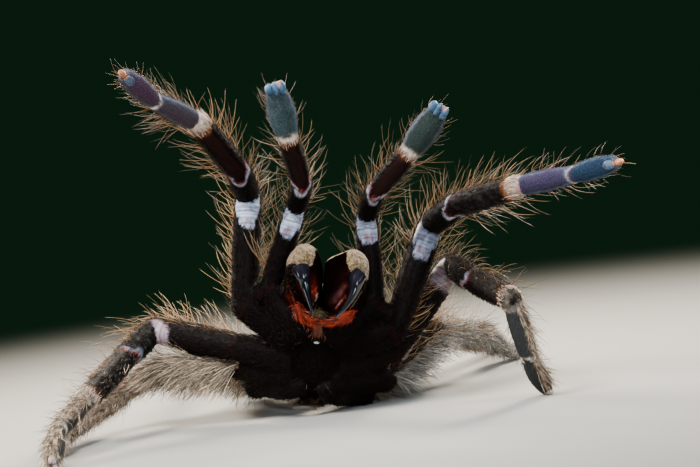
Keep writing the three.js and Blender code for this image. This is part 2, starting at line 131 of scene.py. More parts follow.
def section(name, place, axis):
    """The points where a plane crosses a node's edges."""
    corners = triangles[name]
    heights = (corners - place) @ axis
    points = []
    for a, b in ((0, 1), (1, 2), (2, 0)):
        crosses = heights[:, a] * heights[:, b] < 0
        share = heights[crosses, a] / (heights[crosses, a] - heights[crosses, b])
        start = corners[crosses, a]
        end = corners[crosses, b]
        points.append(start + share[:, None] * (end - start))
    return np.concatenate(points)


def reach(name, directions, origin):
    """Lowest and highest reach of a node from an origin, along each direction."""
    along = (triangles[name].reshape(-1, 3) - origin) @ np.array(directions).T
    return along.min(0), along.max(0)


# %% [markdown]
# ## Stretches
# A stretch is one straight length of the body: a limb piece, the head-and-thorax or the abdomen.
# It knows its axis, its belly side and its half width and half height at a few stations. Skin,
# markings and coat all ask the stretches where on the animal a point lies.

# %% The stretches
STATIONS = np.array([0.2, 0.5, 0.8])
BODY_STATIONS = np.array([0.04, 0.12, 0.25, 0.4, 0.55, 0.7, 0.82, 0.92, 0.97])


class Stretch:
    """One straight length of the body, with its girth at a few stations."""

    def __init__(self, kind, limb, node, start, end, belly, stations=STATIONS):
        self.kind = kind
        self.limb = limb
        self.node = node
        self.start = np.array(start)
        self.end = np.array(end)
        self.length = float(np.linalg.norm(self.end - self.start))
        self.axis = unit(self.end - self.start)
        self.belly = square_to(self.axis, belly)
        self.across = np.cross(self.axis, self.belly)
        self.stations = stations
        frame_axes = np.array([self.across, self.belly])
        middles = []
        halves = []
        for share in stations:
            place = self.start + share * self.length * self.axis
            spread = (section(node, place, self.axis) - place) @ frame_axes.T
            low = spread.min(0)
            high = spread.max(0)
            middles.append((low + high) / 2)
            halves.append((high - low) / 2)
        self.middles = np.array(middles)
        self.halves = np.array(halves)

    def at(self, shares, values):
        """A measured value at shares of the length, held level past the end stations."""
        return np.array([np.interp(shares, self.stations, column) for column in values.T]).T

    def round_about(self, along, inside, halves, angle):
        """Places at a distance along the axis and at an angle round it."""
        middles = self.at(inside, self.middles)
        sideways = middles[:, 0] + halves[:, 0] * np.cos(angle)
        down = middles[:, 1] + halves[:, 1] * np.sin(angle)
        places = self.start + np.outer(along, self.axis) + np.outer(sideways, self.across)
        return places + np.outer(down, self.belly)

    def across_and_down(self, offset, inside):
        """Where offsets from the start lie in half widths and half heights, and the mean half."""
        middles = self.at(inside, self.middles)
        halves = self.at(inside, self.halves)
        sideways = (offset @ self.across - middles[:, 0]) / halves[:, 0]
        down = (offset @ self.belly - middles[:, 1]) / halves[:, 1]
        return sideways, down, halves.mean(1)


SIDES = {"right": -1, "left": 1}
LIMBS = ["palp", "leg_1", "leg_2", "leg_3", "leg_4"]
RAISED = ("palp", "leg_1")
carapace_points = triangles["carapace"].reshape(-1, 3)
carapace_middle = carapace_points.mean(0)
_, carapace_axes = np.linalg.eigh(np.cov((carapace_points - carapace_middle).T))
fangs_middle = (triangles["fang_right"].mean((0, 1)) + triangles["fang_left"].mean((0, 1))) / 2
sternum_middle = triangles["sternum"].mean((0, 1))
FORWARD = carapace_axes[:, 2] * np.sign(carapace_axes[:, 2] @ (fangs_middle - carapace_middle))
VENTRAL = carapace_axes[:, 0] * np.sign(carapace_axes[:, 0] @ (sternum_middle - carapace_middle))
LEFTWARD = np.cross(FORWARD, VENTRAL)


END_DEPTH = 0.8 * mm
WAIST_SHARES = np.linspace(0.48, 0.72, 25)
COXA_START = 0.38


def far_end(name, place):
    """The middle of the end of a node that is farthest from a place."""
    points = np.unique(triangles[name].reshape(-1, 3).round(7), axis=0)
    distances = np.linalg.norm(points - place, axis=1)
    return points[distances > distances.max() - END_DEPTH].mean(0)


def waist(name, start, end):
    """The middle of the narrowest cut through the bent part of a foot."""
    axis = unit(end - start)
    cuts = []
    for share in WAIST_SHARES:
        points = section(name, start + share * (end - start), axis)
        middle = (points.min(0) + points.max(0)) / 2
        cuts.append((np.linalg.norm(points - middle, axis=1).max(), *middle))
    return np.array(min(cuts)[1:])


def limb_stretches(limb, side_name):
    """The stretches of one limb, from coxa to tip."""
    name = f"{limb}_{side_name}"
    last = "tarsus" if limb == "palp" else "foot"
    nodes = [f"{name}_{piece}" for piece in ("coxa", "femur", "patella", "tibia", last)]
    joints = [(facing_cap(a, b) + facing_cap(b, a)) / 2 for a, b in zip(nodes, nodes[1:])]
    tip = far_end(nodes[-1], joints[-1])
    root = sternum_middle + (joints[0] - sternum_middle) * COXA_START
    flexing = unit(joints[3] - joints[2]) - unit(joints[1] - joints[0])
    if limb in RAISED:
        sole = (0, -1, 0)
    elif name == "leg_2_left":
        sole = (-0.75, -0.6, 0)
    else:
        sole = flexing
    shown_side = sole if limb in RAISED else flexing
    made = [Stretch("coxa", name, nodes[0], root, joints[0], VENTRAL)]
    for kind, node, start, end in zip(("femur", "patella", "tibia"), nodes[1:], joints, joints[1:]):
        made.append(Stretch(kind, name, node, start, end, shown_side))
    if limb == "palp":
        made.append(Stretch("tarsus", name, nodes[-1], joints[3], tip, sole))
    else:
        ankle = waist(nodes[-1], joints[3], tip)
        made.append(Stretch("metatarsus", name, nodes[-1], joints[3], ankle, sole))
        made.append(Stretch("tarsus", name, nodes[-1], ankle, tip, sole))
    return made


def node_stretch(kind, node, axis, belly):
    """One stretch through the whole of a node."""
    middle = triangles[node].mean((0, 1))
    axis = unit(axis)
    below = square_to(axis, belly)
    across = np.cross(axis, below)
    low, high = reach(node, (axis, across, below), middle)
    centre = middle + across * (low[1] + high[1]) / 2 + below * (low[2] + high[2]) / 2
    return Stretch(kind, kind, node, centre + axis * low[0], centre + axis * high[0], belly, BODY_STATIONS)


limbs = {f"{limb}_{side}": limb_stretches(limb, side) for side in SIDES for limb in LIMBS}
abdomen_points = triangles["abdomen"].reshape(-1, 3)
_, abdomen_axes = np.linalg.eigh(np.cov((abdomen_points - abdomen_points.mean(0)).T))
BACKWARD = abdomen_axes[:, 2] * np.sign(abdomen_axes[1, 2])
body = {
    "carapace": node_stretch("carapace", "carapace", FORWARD, VENTRAL),
    "sternum": node_stretch("sternum", "sternum", FORWARD, VENTRAL),
    "abdomen": node_stretch("abdomen", "abdomen", BACKWARD, (0, 0, -1)),
}
for side in SIDES:
    name = f"spinneret_{side}"
    points = np.unique(triangles[name].reshape(-1, 3).round(7), axis=0)
    order = points @ BACKWARD
    start = points[order < order.min() + mm].mean(0)
    end = points[order > order.max() - 0.3 * mm].mean(0)
    body[name] = Stretch("spinneret", name, name, start, end, (0, 0, -1))

stretches = [stretch for limb in limbs.values() for stretch in limb] + list(body.values())
for name, limb in limbs.items():
    print(name, [f"{s.kind} {s.length / mm:.1f}x{s.halves[1, 0] * 2 / mm:.1f}" for s in limb])
for name, stretch in body.items():
    print(name, f"{stretch.length / mm:.1f} mm", (stretch.halves * 2 / mm).max(0).round(1))


# %% [markdown]
# ## The jaws' own stretches
# The two jaws and their fangs are hard, bare or velvety, so they stay apart from the skin. Their
# stretches run from base to end. A fang is bent, so one straight stretch would miss it. It is
# followed in slices along its chord, and each slice gives a middle and a radius.

# %% Jaws and fangs
def jaw_stretch(side):
    """The stretch of a jaw, and the way that points away from the other jaw."""
    node = f"chelicera_{side}"
    other = "chelicera_left" if side == "right" else "chelicera_right"
    points = triangles[node].reshape(-1, 3)
    middle = points.mean(0)
    _, axes = np.linalg.eigh(np.cov((points - middle).T))
    along = axes[:, 2] * np.sign(axes[:, 2] @ FORWARD)
    outwards = square_to(along, middle - triangles[other].mean((0, 1)))
    below = square_to(along, VENTRAL)
    below = square_to(along, below - (below @ outwards) * outwards)
    return node_stretch("chelicera", node, along, below), outwards


def fang_spine(side, slices=14):
    """Middles and radii of a fang from its root to its point."""
    node = f"fang_{side}"
    points = triangles[node].reshape(-1, 3)
    first = points[np.linalg.norm(points - points.mean(0), axis=1).argmax()]
    second = points[np.linalg.norm(points - first, axis=1).argmax()]
    root, point = sorted((first, second), key=lambda end: -(end @ jaws[side][0].axis))
    chord = unit(point - root)
    length = np.linalg.norm(point - root)
    middles = []
    radii = []
    for share in np.linspace(0.06, 0.96, slices):
        cut = section(node, root + share * length * chord, chord)
        middles.append((cut.min(0) + cut.max(0)) / 2)
        radii.append(np.linalg.norm(cut - middles[-1], axis=1).mean())
    middles = np.array([root, *middles, point])
    radii = np.array([radii[0], *radii, 0.05 * mm])
    return middles, radii


jaws = {side: jaw_stretch(side) for side in SIDES}
fangs = {side: fang_spine(side) for side in SIDES}
for side in SIDES:
    jaw, outwards = jaws[side]
    print(side, "jaw", f"{jaw.length / mm:.1f} mm", (jaw.halves.max(0) * 2 / mm).round(1))
    print(side, "fang radii", (fangs[side][1] / mm).round(2))


# %% [markdown]
# ## The skin
# A spider's limb is a row of tubes joined by soft membranes. Every tube is a sphere drawn out along
# its stretch, and the trunk's pieces are spheres drawn out the same way. A fine voxel remesh makes
# them one closed skin with soft joints, a little inside the construction model to leave room for
# the coat.

# %% Drawn-out spheres
def drawn_sphere(bm, place_at, around=24, along=22):
    """A sphere whose vertices are moved to where place_at(share from end to end, angle) says."""
    made = bmesh.ops.create_uvsphere(bm, u_segments=around, v_segments=along, radius=1)["verts"]
    places = np.array([vertex.co for vertex in made])
    share = (places[:, 2] + 1) / 2
    angle = np.arctan2(places[:, 1], places[:, 0])
    for vertex, place in zip(made, place_at(share, angle)):
        vertex.co = place
    return made


def oval(bm, place, axes, around, along):
    """Adds a ball that is drawn out along three axes, which are the rows of a matrix."""
    matrix = Matrix.Translation(place) @ Matrix(axes).transposed().to_4x4()
    bmesh.ops.create_uvsphere(bm, u_segments=around, v_segments=along, radius=1, matrix=matrix)


def rise(values, low, high):
    """A smooth step from 0 at low to 1 at high."""
    share = np.clip((values - low) / (high - low), 0, 1)
    return share * share * (3 - 2 * share)


PINCH_WIDTH = 1.1 * mm


def capsule(stretch, depth, pinch=0.07, overrun=0.8):
    """Places on a tube with domed ends that reach past its joints."""
    end = overrun * stretch.halves.mean()

    def place_at(share, angle):
        along = share * (stretch.length + 2 * end) - end
        inside = np.clip(along / stretch.length, 0, 1)
        beyond = abs(along - inside * stretch.length) / end
        nearest = np.minimum(abs(along), abs(stretch.length - along))
        pinched = 1 - pinch * np.exp(-((nearest / PINCH_WIDTH) ** 2))
        girth = np.sqrt(np.maximum(1 - beyond**2, 0)) * pinched
        if stretch.kind == "metatarsus":
            girth = girth * (0.93 + 0.09 * np.sin(pi * inside))
        if stretch.kind == "tarsus":
            girth = girth * (0.86 + 0.18 * np.sin(pi * np.minimum(inside * 1.1, 1)))
            girth = girth * (1 - 0.22 * rise(inside, 0.8, 1.0))
            along = np.minimum(along, stretch.length - 0.5 * mm * abs(np.cos(angle)))
        halves = (stretch.at(inside, stretch.halves) - depth) * girth[:, None]
        return stretch.round_about(along, inside, halves, angle)

    return place_at


def egg(stretch, depth):
    """Places on a rounded body that follows a stretch's measured sections."""
    bow = 2 * np.sqrt(stretch.stations * (1 - stretch.stations))
    fullness = stretch.halves / bow[:, None]

    def place_at(share, angle):
        along = depth + share * (stretch.length - 2 * depth)
        inside = along / stretch.length
        rounding = 2 * np.sqrt(np.maximum(share * (1 - share), 0))
        halves = stretch.at(inside, fullness) * rounding[:, None] - depth * rounding[:, None]
        return stretch.round_about(along, inside, halves, angle)

    return place_at


def object_from(bm, name):
    """A scene object from a bmesh, with its normals outwards."""
    bmesh.ops.recalc_face_normals(bm, faces=bm.faces)
    mesh = bpy.data.meshes.new(name)
    bm.to_mesh(mesh)
    bm.free()
    mesh.shade_smooth()
    made = bpy.data.objects.new(name, mesh)
    bpy.context.scene.collection.objects.link(made)
    return made


def finished(made):
    """Replaces an object's mesh by the result of its modifiers."""
    bpy.context.view_layer.update()
    shown = made.evaluated_get(bpy.context.evaluated_depsgraph_get())
    mesh = bpy.data.meshes.new_from_object(shown)
    made.modifiers.clear()
    old = made.data
    made.data = mesh
    bpy.data.meshes.remove(old)
    mesh.name = made.name
    mesh.shade_smooth()
    return made


# %% [markdown]
# ## One skin
# On the animal, soft membrane joins every hard tube to the next, without a seam. The tubes could
# stay apart and only touch, but then each joint would show a crack. A voxel remesh pours them
# together, and it only asks that they overlap. The coxae and the sternum also join with their
# constructed shapes, whose outlines show from below. Balls fill the waist, the web between the
# palp and the first leg, and the stems of the spinnerets.

# %% One skin
LIMB_DEPTH = {"coxa": 0.1, "femur": 0.08, "patella": 0.08, "tibia": 0.08, "metatarsus": 0.05, "tarsus": 0.03}
BODY_DEPTH = {"abdomen": 0.5 * mm}
PLAIN_DEPTH = 0.2 * mm
VOXEL = 0.37 * mm
LOWEST_SKIN = 0.12 * mm
WELD = 0.002 * mm
WAIST_RADIUS = 1.7 * mm
WEB_RADIUS = 1.75 * mm
STEM_DEPTH = 4 * mm
STEM_RADIUS = 0.7
STEM_SWELL = 0.9


def add_node(bm, name):
    """Adds a copy of a construction piece, with its corners welded and its normals outwards."""
    copy = bmesh.new()
    copy.from_mesh(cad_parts[name].data)
    bmesh.ops.remove_doubles(copy, verts=copy.verts, dist=WELD)
    bmesh.ops.recalc_face_normals(copy, faces=copy.faces)
    plain = bpy.data.meshes.new("plain")
    copy.to_mesh(plain)
    copy.free()
    bm.from_mesh(plain)
    bpy.data.meshes.remove(plain)


def ball(bm, place, radius):
    """Adds a round ball."""
    matrix = Matrix.Translation(place)
    bmesh.ops.create_uvsphere(bm, u_segments=16, v_segments=10, radius=radius, matrix=matrix)


bm = bmesh.new()
for limb in limbs.values():
    for stretch in limb:
        drawn_sphere(bm, capsule(stretch, LIMB_DEPTH[stretch.kind] * mm))
for name, stretch in body.items():
    drawn_sphere(bm, egg(stretch, BODY_DEPTH.get(name, PLAIN_DEPTH)), 48, 32)
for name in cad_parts:
    if name.endswith("_coxa") or name == "sternum":
        add_node(bm, name)
ball(bm, (body["abdomen"].start + body["carapace"].start) / 2, WAIST_RADIUS)
for side in SIDES:
    ball(bm, (limbs[f"palp_{side}"][0].end + limbs[f"leg_1_{side}"][0].end) / 2, WEB_RADIUS)
    tail = body[f"spinneret_{side}"].start
    inside = body["abdomen"].end - STEM_DEPTH * BACKWARD
    for share in np.linspace(0, 1, 9):
        ball(bm, tail + share * (inside - tail), (STEM_RADIUS + STEM_SWELL * share) * mm)

skin = object_from(bm, "skin")
remesh = skin.modifiers.new("remesh", "REMESH")
remesh.mode = "VOXEL"
remesh.voxel_size = VOXEL
smooth = skin.modifiers.new("smooth", "SMOOTH")
smooth.factor = 0.5
smooth.iterations = 3
finished(skin)


def vertex_places(mesh, what="co"):
    """The places or the normals of a mesh's vertices."""
    places = np.empty(len(mesh.vertices) * 3, np.float32)
    mesh.vertices.foreach_get(what, places)
    return places.reshape(-1, 3).astype(float)


skin_places = vertex_places(skin.data)
skin_places[:, 2] = np.maximum(skin_places[:, 2], LOWEST_SKIN)
skin.data.vertices.foreach_set("co", skin_places.astype(np.float32).ravel())
skin.data.update()
skin.data.calc_loop_triangles()
print("skin:", len(skin.data.vertices), "vertices,", len(skin.data.loop_triangles), "triangles")


# %% [markdown]
# ## Where on the animal
# Markings and coat depend on the limb, the distance from its joints and the side of it. So every
# point first gets its nearest stretch and its place there, and one function turns these into the
# colour of the skin or of a tuft.

# %% Places on the animal
KINDS = np.array([stretch.kind for stretch in stretches])
LIMB_OF = np.array([stretch.limb for stretch in stretches])
AXES = np.array([stretch.axis for stretch in stretches])
LENGTHS = np.array([stretch.length for stretch in stretches])


class Spot:
    """Where points lie: the stretch, millimetres from its ends, and the side of it."""

    def __init__(self, points):
        nearest = np.full(len(points), np.inf)
        self.which = np.zeros(len(points), int)
        self.along = np.zeros(len(points))
        self.sideways = np.zeros(len(points))
        self.down = np.zeros(len(points))
        for number, stretch in enumerate(stretches):
            along = (points - stretch.start) @ stretch.axis
            inside = np.clip(along / stretch.length, 0, 1)
            offset = points - stretch.start - np.outer(inside * stretch.length, stretch.axis)
            sideways, down, mean_half = stretch.across_and_down(offset, inside)
            beyond = (along - inside * stretch.length) / mean_half
            distance = np.sqrt(sideways**2 + down**2 + beyond**2)
            closer = distance < nearest
            nearest[closer] = distance[closer]
            self.which[closer] = number
            self.along[closer] = along[closer] / mm
            self.sideways[closer] = sideways[closer]
            self.down[closer] = down[closer]
        self.points = points
        self.kind = KINDS[self.which]
        self.limb = LIMB_OF[self.which]
        self.left = LENGTHS[self.which] / mm - self.along
        self.share = self.along / (LENGTHS[self.which] / mm)
        round_about = np.maximum(np.hypot(self.sideways, self.down), 1e-6)
        self.under = self.down / round_about
        self.beside = self.sideways / round_about
        self.axis = AXES[self.which]

    def on(self, *kinds):
        """Ones on stretches of any of the kinds."""
        return np.isin(self.kind, kinds).astype(float)

    def of(self, *names):
        """Ones on limbs whose name begins with any of the names."""
        hits = [np.char.startswith(self.limb.astype(str), name) for name in names]
        return np.any(hits, axis=0).astype(float)


def hill(values, middle, width):
    """One at the middle, falling softly to nothing on both sides."""
    return np.exp(-(((values - middle) / width) ** 2))


ripple_ways = draws.normal(size=(9, 3))
ripple_turns = draws.uniform(0, tau, 9)


def ripple(points, size):
    """A soft uneven pattern between about -1 and 1, with bumps of a size."""
    phases = points @ ripple_ways.T * (2.2 / size) + ripple_turns
    bent = phases[:, :3] + 1.7 * np.sin(phases[:, 3:6] * 0.6) + np.sin(phases[:, 6:])
    return np.sin(bent).mean(1) * 1.5


# %% [markdown]
# ## Colours and markings
# The animal is nearly black, with grey-blue wrinkled skin under its knees, cream bands above its
# feet and pale rear legs. An image could carry all this, but formulas over the places on the
# animal stay sharp and can be changed in one line. Each marking is one layer of paint over the
# layers before it, and its cover says where it lies: by piece, by side, by distance from a joint.

# %% Named colours
def linear(red, green, blue):
    """A screen colour from 0 to 255 as a linear one."""
    screen = np.array((red, green, blue)) / 255
    return np.where(screen < 0.04045, screen / 12.92, ((screen + 0.055) / 1.055) ** 2.4)


COLOURS = {
    "black": linear(6, 2, 2),
    "soft_black": linear(13, 8, 7),
    "trunk": linear(10, 6, 5),
    "stripe": linear(20, 5, 4),
    "speckle": linear(58, 56, 52),
    "bloom": linear(48, 43, 38),
    "membrane": linear(176, 184, 204),
    "membrane_in_shade": linear(88, 92, 110),
    "membrane_dusky": linear(146, 126, 134),
    "indigo": linear(46, 40, 60),
    "deep_blue": linear(27, 41, 56),
    "sole_grey": linear(40, 40, 40),
    "sole_rim_highlight": linear(88, 100, 114),
    "fuzz": linear(204, 182, 158),
    "fuzz_shadow": linear(78, 62, 50),
    "fuzz_shade_grey": linear(158, 164, 164),
    "membrane_mark": linear(96, 36, 36),
    "ring": linear(150, 152, 166),
    "ring_red": linear(104, 36, 28),
    "band": linear(236, 214, 192),
    "band_warm": linear(170, 104, 60),
    "band_rose": linear(190, 138, 128),
    "violet": linear(56, 46, 52),
    "slate": linear(42, 45, 58),
    "dorsal_grey": linear(84, 76, 68),
    "crescent": linear(232, 216, 194),
    "rose": linear(60, 41, 55),
    "teal": linear(35, 43, 40),
    "teal_light": linear(58, 72, 76),
    "tip": linear(84, 84, 90),
    "hair_brown": linear(120, 92, 66),
    "joint_red": linear(86, 26, 22),
    "abdomen": linear(34, 20, 15),
    "groove": linear(2, 1, 1),
}


def mixed_tint(first, second, shares):
    """A named colour that turns into another one by shares."""
    return COLOURS[first] * (1 - shares[:, None]) + COLOURS[second] * shares[:, None]


def paint(under, colour, cover):
    """A layer of a colour over the colours under it, as far as it covers them."""
    colour = COLOURS[colour] if isinstance(colour, str) else np.asarray(colour)
    cover = np.clip(cover, 0, 1)[:, None]
    return under * (1 - cover) + colour * cover


# %% [markdown]
# ## One function for all markings
# A tarantula's hairs have the colour of the skin they stand on. So one function answers for both,
# and the short coat later asks it again at the roots of its hairs. A picture painted by hand
# would need to be looked up for every hair, and would blur at the joints.

# %% The markings
def skin_look(spot):
    """Base colour, bareness, wrinkling and gloss of the skin at spots."""
    uneven = ripple(spot.points, 1.3 * mm)
    under = spot.under + 0.10 * uneven
    along = spot.along + 0.16 * uneven
    left = spot.left - 0.16 * uneven
    raised = spot.of("palp", "leg_1")
    # leg_1_left stands in shade: its cream band and crescent below are painted dimmer, as painted shade
    shaded = spot.of("leg_1_left")
    bent_leg = spot.of("leg_2_left")
    leg = 1 - spot.on("carapace", "sternum", "abdomen", "spinneret")
    belly_side = rise(under, 0.25, 0.6)
    back_side = rise(-under, -0.1, 0.5)

    tint = np.tile(COLOURS["black"], (len(under), 1))
    tint = paint(tint, "trunk", spot.on("carapace", "sternum"))
    tint = paint(tint, "abdomen", spot.on("abdomen", "spinneret"))
    lower = leg * (1 - raised)
    tint = paint(tint, "soft_black", 0.7 * lower)

    # dark limb pieces: a bloom on the back, a smooth red-brown stripe on the belly side
    tibia = spot.on("tibia")
    patella = spot.on("patella")
    femur = spot.on("femur")
    bloom = (0.55 * tibia + 0.3 * patella + 0.12 * femur) * (1 - rise(under, 0.35, 0.75))
    tint = paint(tint, "bloom", bloom * (1 - 0.8 * bent_leg))
    fine = ripple(spot.points, 0.45 * mm)
    tint = paint(tint, "stripe", raised * (1 - shaded) * tibia * rise(under, 0.7, 0.88))
    tint = paint(tint, "speckle", shaded * (tibia + 0.5 * patella) * 0.2 * rise(fine, 0.0, 0.9))
    tint = paint(tint, "dorsal_grey", lower * tibia * 0.45 * (1 - belly_side) * (1 - 0.85 * bent_leg))
    # pale speckles on leg_2_right's patella and tibia, partly painted highlight
    frost_and_highlight = spot.of("leg_2_right") * (patella + 0.5 * tibia) * 0.55
    tint = paint(tint, "speckle", frost_and_highlight * rise(fine, 0.1, 0.9))

    # feet: slate pads on the sole, greyer backs; painted light on the right palp's sole
    # and a painted highlight along the rim of each raised sole
    foot = spot.on("metatarsus", "tarsus")
    metatarsus = spot.on("metatarsus")
    tarsus = spot.on("tarsus")
    palp = spot.of("palp")
    narrow = lower * (1 - bent_leg)
    sole = rise(under - 0.6 * narrow, 0.25, 0.6 - 0.25 * narrow)
    tint = paint(tint, "violet", foot)
    tint = paint(tint, "indigo", metatarsus * shaded)
    tint = paint(tint, "slate", metatarsus * rise(spot.beside, 0.1, 0.9) * 0.8)
    tint = paint(tint, "rose", tarsus * (1 - palp) * rise(under, 0.6, 0.9))
    tint = paint(tint, "deep_blue", tarsus * shaded)
    tint = paint(tint, "teal", tarsus * palp * rise(under, 0.2, 0.7))
    lit_sole = tarsus * spot.of("palp_right") * rise(under, 0.2, 0.7)
    tint = paint(tint, "teal_light", lit_sole * (0.4 + 0.25 * uneven))
    tint = paint(tint, "sole_grey", foot * lower)
    sole_rim_highlight = hill(under, 0.48, 0.1) * 0.45 + hill(left, 0.5, 0.5) * 0.2
    tint = paint(tint, "sole_rim_highlight", foot * raised * sole_rim_highlight)
    tint = paint(tint, "dorsal_grey", foot * back_side)
    tint = paint(tint, "tip", tarsus * rise(-left, -1.3, -0.6) * 0.7)

    # the third and fourth legs are pale with fuzz, the second ones only on the back of the foot
    fuzzy = spot.of("leg_3", "leg_4")
    outer_length = spot.on("patella", "tibia", "metatarsus", "tarsus") + femur * rise(under, -0.3, 0.3)
    tint = paint(tint, "fuzz_shadow", fuzzy * outer_length)
    tint = paint(tint, "fuzz", fuzzy * outer_length * (0.2 + 0.3 * fine))
    # painted shade: leg_3_left is painted grey-blue, as it stands in shade
    tint = paint(tint, "fuzz_shade_grey", spot.of("leg_3_left") * outer_length * 0.35)
    tint = paint(tint, "joint_red", fuzzy * outer_length * 0.5 * hill(np.minimum(along, left), 0.4, 0.7))
    tint = paint(tint, "fuzz_shadow", spot.of("leg_2") * foot * (1 - sole))
    tint = paint(tint, "fuzz", spot.of("leg_2") * foot * (1 - sole) * (0.12 + 0.3 * fine))

    # pale joints: wrinkled membrane under the knee, rings, the cream band and the ankle's crescent
    first_leg = spot.of("leg_1")
    raised_reach = 3.2 + (1.3 + 1.1 * first_leg) * rise(under, 0.5, 1.0)
    reach_up = raised * raised_reach + lower * 4.2 * rise(under, -0.7, 0.6)
    knee = np.maximum(femur * rise(reach_up - left, 0, 0.6), patella * rise(-along, -0.7, -0.2))
    shield = knee * rise(under, 0.3 - 0.5 * lower, 0.5 - 0.4 * lower) * leg * (1 - 0.7 * fuzzy)
    tint = paint(tint, "membrane", shield * raised)
    # painted shade: the membranes of leg_1_left and of the left palp are painted dimmer
    tint = paint(tint, "membrane_in_shade", shield * raised * shaded * 0.95)
    tint = paint(tint, "membrane_in_shade", shield * raised * spot.of("palp_left") * 0.55)
    tint = paint(tint, "membrane_dusky", shield * lower * (0.9 - 0.5 * bent_leg))
    tint = paint(tint, "membrane_mark", shield * 0.45 * rise(ripple(spot.points, 0.8 * mm), 0.3, 0.9))
    oval = raised * femur * hill(left, 3.2 + 1.0 * first_leg, 0.7) * rise(under, 0.86, 0.96)
    tint = paint(tint, "membrane_mark", 0.8 * oval)
    corner = knee * hill(under, 0.42, 0.12) * hill(np.where(femur > 0, -left, along), 0.9, 0.7)
    tint = paint(tint, "membrane_mark", 0.7 * corner * raised)
    shin = np.where(patella > 0, -left, np.where(tibia > 0, along, 9))
    ring_place = 0.35 - 1.5 * rise(under, 0.5, 1.0)
    red_ring = hill(shin, ring_place + 0.55, 0.34) * rise(under, -0.3, 0.2)
    tint = paint(tint, "ring_red", red_ring * (0.9 - 0.6 * shaded))
    tint = paint(tint, "ring", hill(shin, ring_place, 0.3) * rise(under, -0.5, 0.1) * (0.5 + 0.5 * raised))
    cuff = np.where(tibia > 0, -left, np.where(metatarsus > 0, along, 9))
    palp_cuff = np.where(tibia > 0, -left, np.where(tarsus > 0, along, 9))
    band = rise(cuff, -1.15, -0.75) * rise(-cuff, -1.5, -1.1) * (1 - palp)
    mottled = ripple(spot.points, 0.6 * mm)
    warm = hill(cuff, -1.35, 0.45) * (1 - palp) + palp * hill(palp_cuff, -0.6, 0.5) * 0.6
    tint = paint(tint, "band_warm", warm * (0.1 + 0.35 * raised) * (0.8 + 0.4 * mottled))
    shown = (0.3 + 0.7 * rise(under, -0.6, 0.2)) * (0.25 + 0.6 * raised) * (1 - 0.5 * shaded - 0.5 * bent_leg)
    tint = paint(tint, "band", band * shown * (0.6 + 0.3 * mottled))
    tint = paint(tint, "band_rose", band * raised * 0.6 * rise(-mottled, 0.0, 0.7))
    tint = paint(tint, "band", palp * hill(palp_cuff, 0.1, 0.4) * (0.2 + 0.45 * rise(under, 0.5, 0.95)))
    ankle = np.where(metatarsus > 0, -left, np.where(tarsus > 0, along, 9))
    crescent = hill(ankle, 0.1 - 0.5 * rise(under, 0.4, 1), 0.22) * (1 - palp) * (1 - 0.5 * shaded)
    tint = paint(tint, "crescent", crescent * np.clip(0.55 + 0.5 * mottled, 0.1, 0.9))
    hip = np.where(spot.on("coxa") > 0, -left, np.where(femur > 0, along, 9))
    tint = paint(tint, "joint_red", hill(hip, 0, 0.3) * 0.06)

    # the carapace: a pit in its middle and shallow grooves that run out from it
    shell = spot.on("carapace")
    from_pit = spot.points - (body["carapace"].start + 0.42 * body["carapace"].length * FORWARD)
    ahead = from_pit @ FORWARD / mm
    aside = from_pit @ LEFTWARD / mm
    spokes = rise(np.cos(9 * np.arctan2(aside, ahead)), 0.75, 1.0) * rise(np.hypot(ahead, aside), 1.2, 2.5)
    pit = hill(ahead, 0, 0.5) * hill(aside, 0, 1.3)
    tint = paint(tint, "groove", shell * rise(-under, 0.2, 0.6) * np.clip(0.8 * pit + 0.55 * spokes, 0, 1))

    bare = np.clip(shield + 0.6 * band + raised * tibia * rise(under, 0.75, 0.9), 0, 1)
    wrinkles = shield
    gloss = 0.4 * raised * tibia * rise(under, 0.6, 0.85) + 0.12 * (femur + patella) * belly_side
    gloss = np.clip(gloss, 0, 1)
    pad = foot * sole
    return tint, bare, wrinkles, gloss, pad


skin_spot = Spot(skin_places)
tint, bare, wrinkles, gloss, pad = skin_look(skin_spot)
along_limb = np.einsum("ij,ij->i", skin_places, skin_spot.axis)[:, None]
squeezed = skin_places - 0.82 * along_limb * skin_spot.axis


def keep(mesh, name, values):
    """Stores one number or one vector per vertex, under a name that materials can read."""
    values = np.asarray(values, np.float32)
    if values.ndim == 1:
        layer = mesh.attributes.new(name, "FLOAT", "POINT")
        layer.data.foreach_set("value", values)
    elif name == "tint":
        layer = mesh.color_attributes.new(name, "FLOAT_COLOR", "POINT")
        layer.data.foreach_set("color", np.c_[values, np.ones(len(values))].astype(np.float32).ravel())
    else:
        layer = mesh.attributes.new(name, "FLOAT_VECTOR", "POINT")
        layer.data.foreach_set("vector", values.ravel())


keep(skin.data, "tint", tint)
keep(skin.data, "lie", squeezed)
for name, values in (("wrinkles", wrinkles), ("gloss", gloss), ("pad", pad), ("along", skin_spot.along * mm)):
    keep(skin.data, name, values)
print("markings on", len(tint), "vertices")


# %% [markdown]
# ## Materials
# The coat's colour comes with the mesh, so the materials only add what is finer than the mesh: the
# streaks of lying fur, the wrinkles of a membrane, the grain of a sole.

# %% Shader maths
class Value:
    """A socket that can be reckoned with."""

    def __init__(self, look, socket):
        self.look = look
        self.socket = socket

    def _math(self, operation, first, second=None):
        inputs = {0: first} if second is None else {0: first, 1: second}
        return self.look.node("ShaderNodeMath", {"operation": operation}, inputs)

    def __add__(self, other):
        return self._math("ADD", self, other)

    def __sub__(self, other):
        return self._math("SUBTRACT", self, other)

    def __mul__(self, other):
        return self._math("MULTIPLY", self, other)

    def __rsub__(self, other):
        return self._math("SUBTRACT", other, self)

    __radd__ = __add__
    __rmul__ = __mul__

    def smooth(self, low, high):
        """A soft step from 0 at low to 1 at high."""
        settings = {"interpolation_type": "SMOOTHSTEP"}
        inputs = {"Value": self, "From Min": low, "From Max": high}
        return self.look.node("ShaderNodeMapRange", settings, inputs)


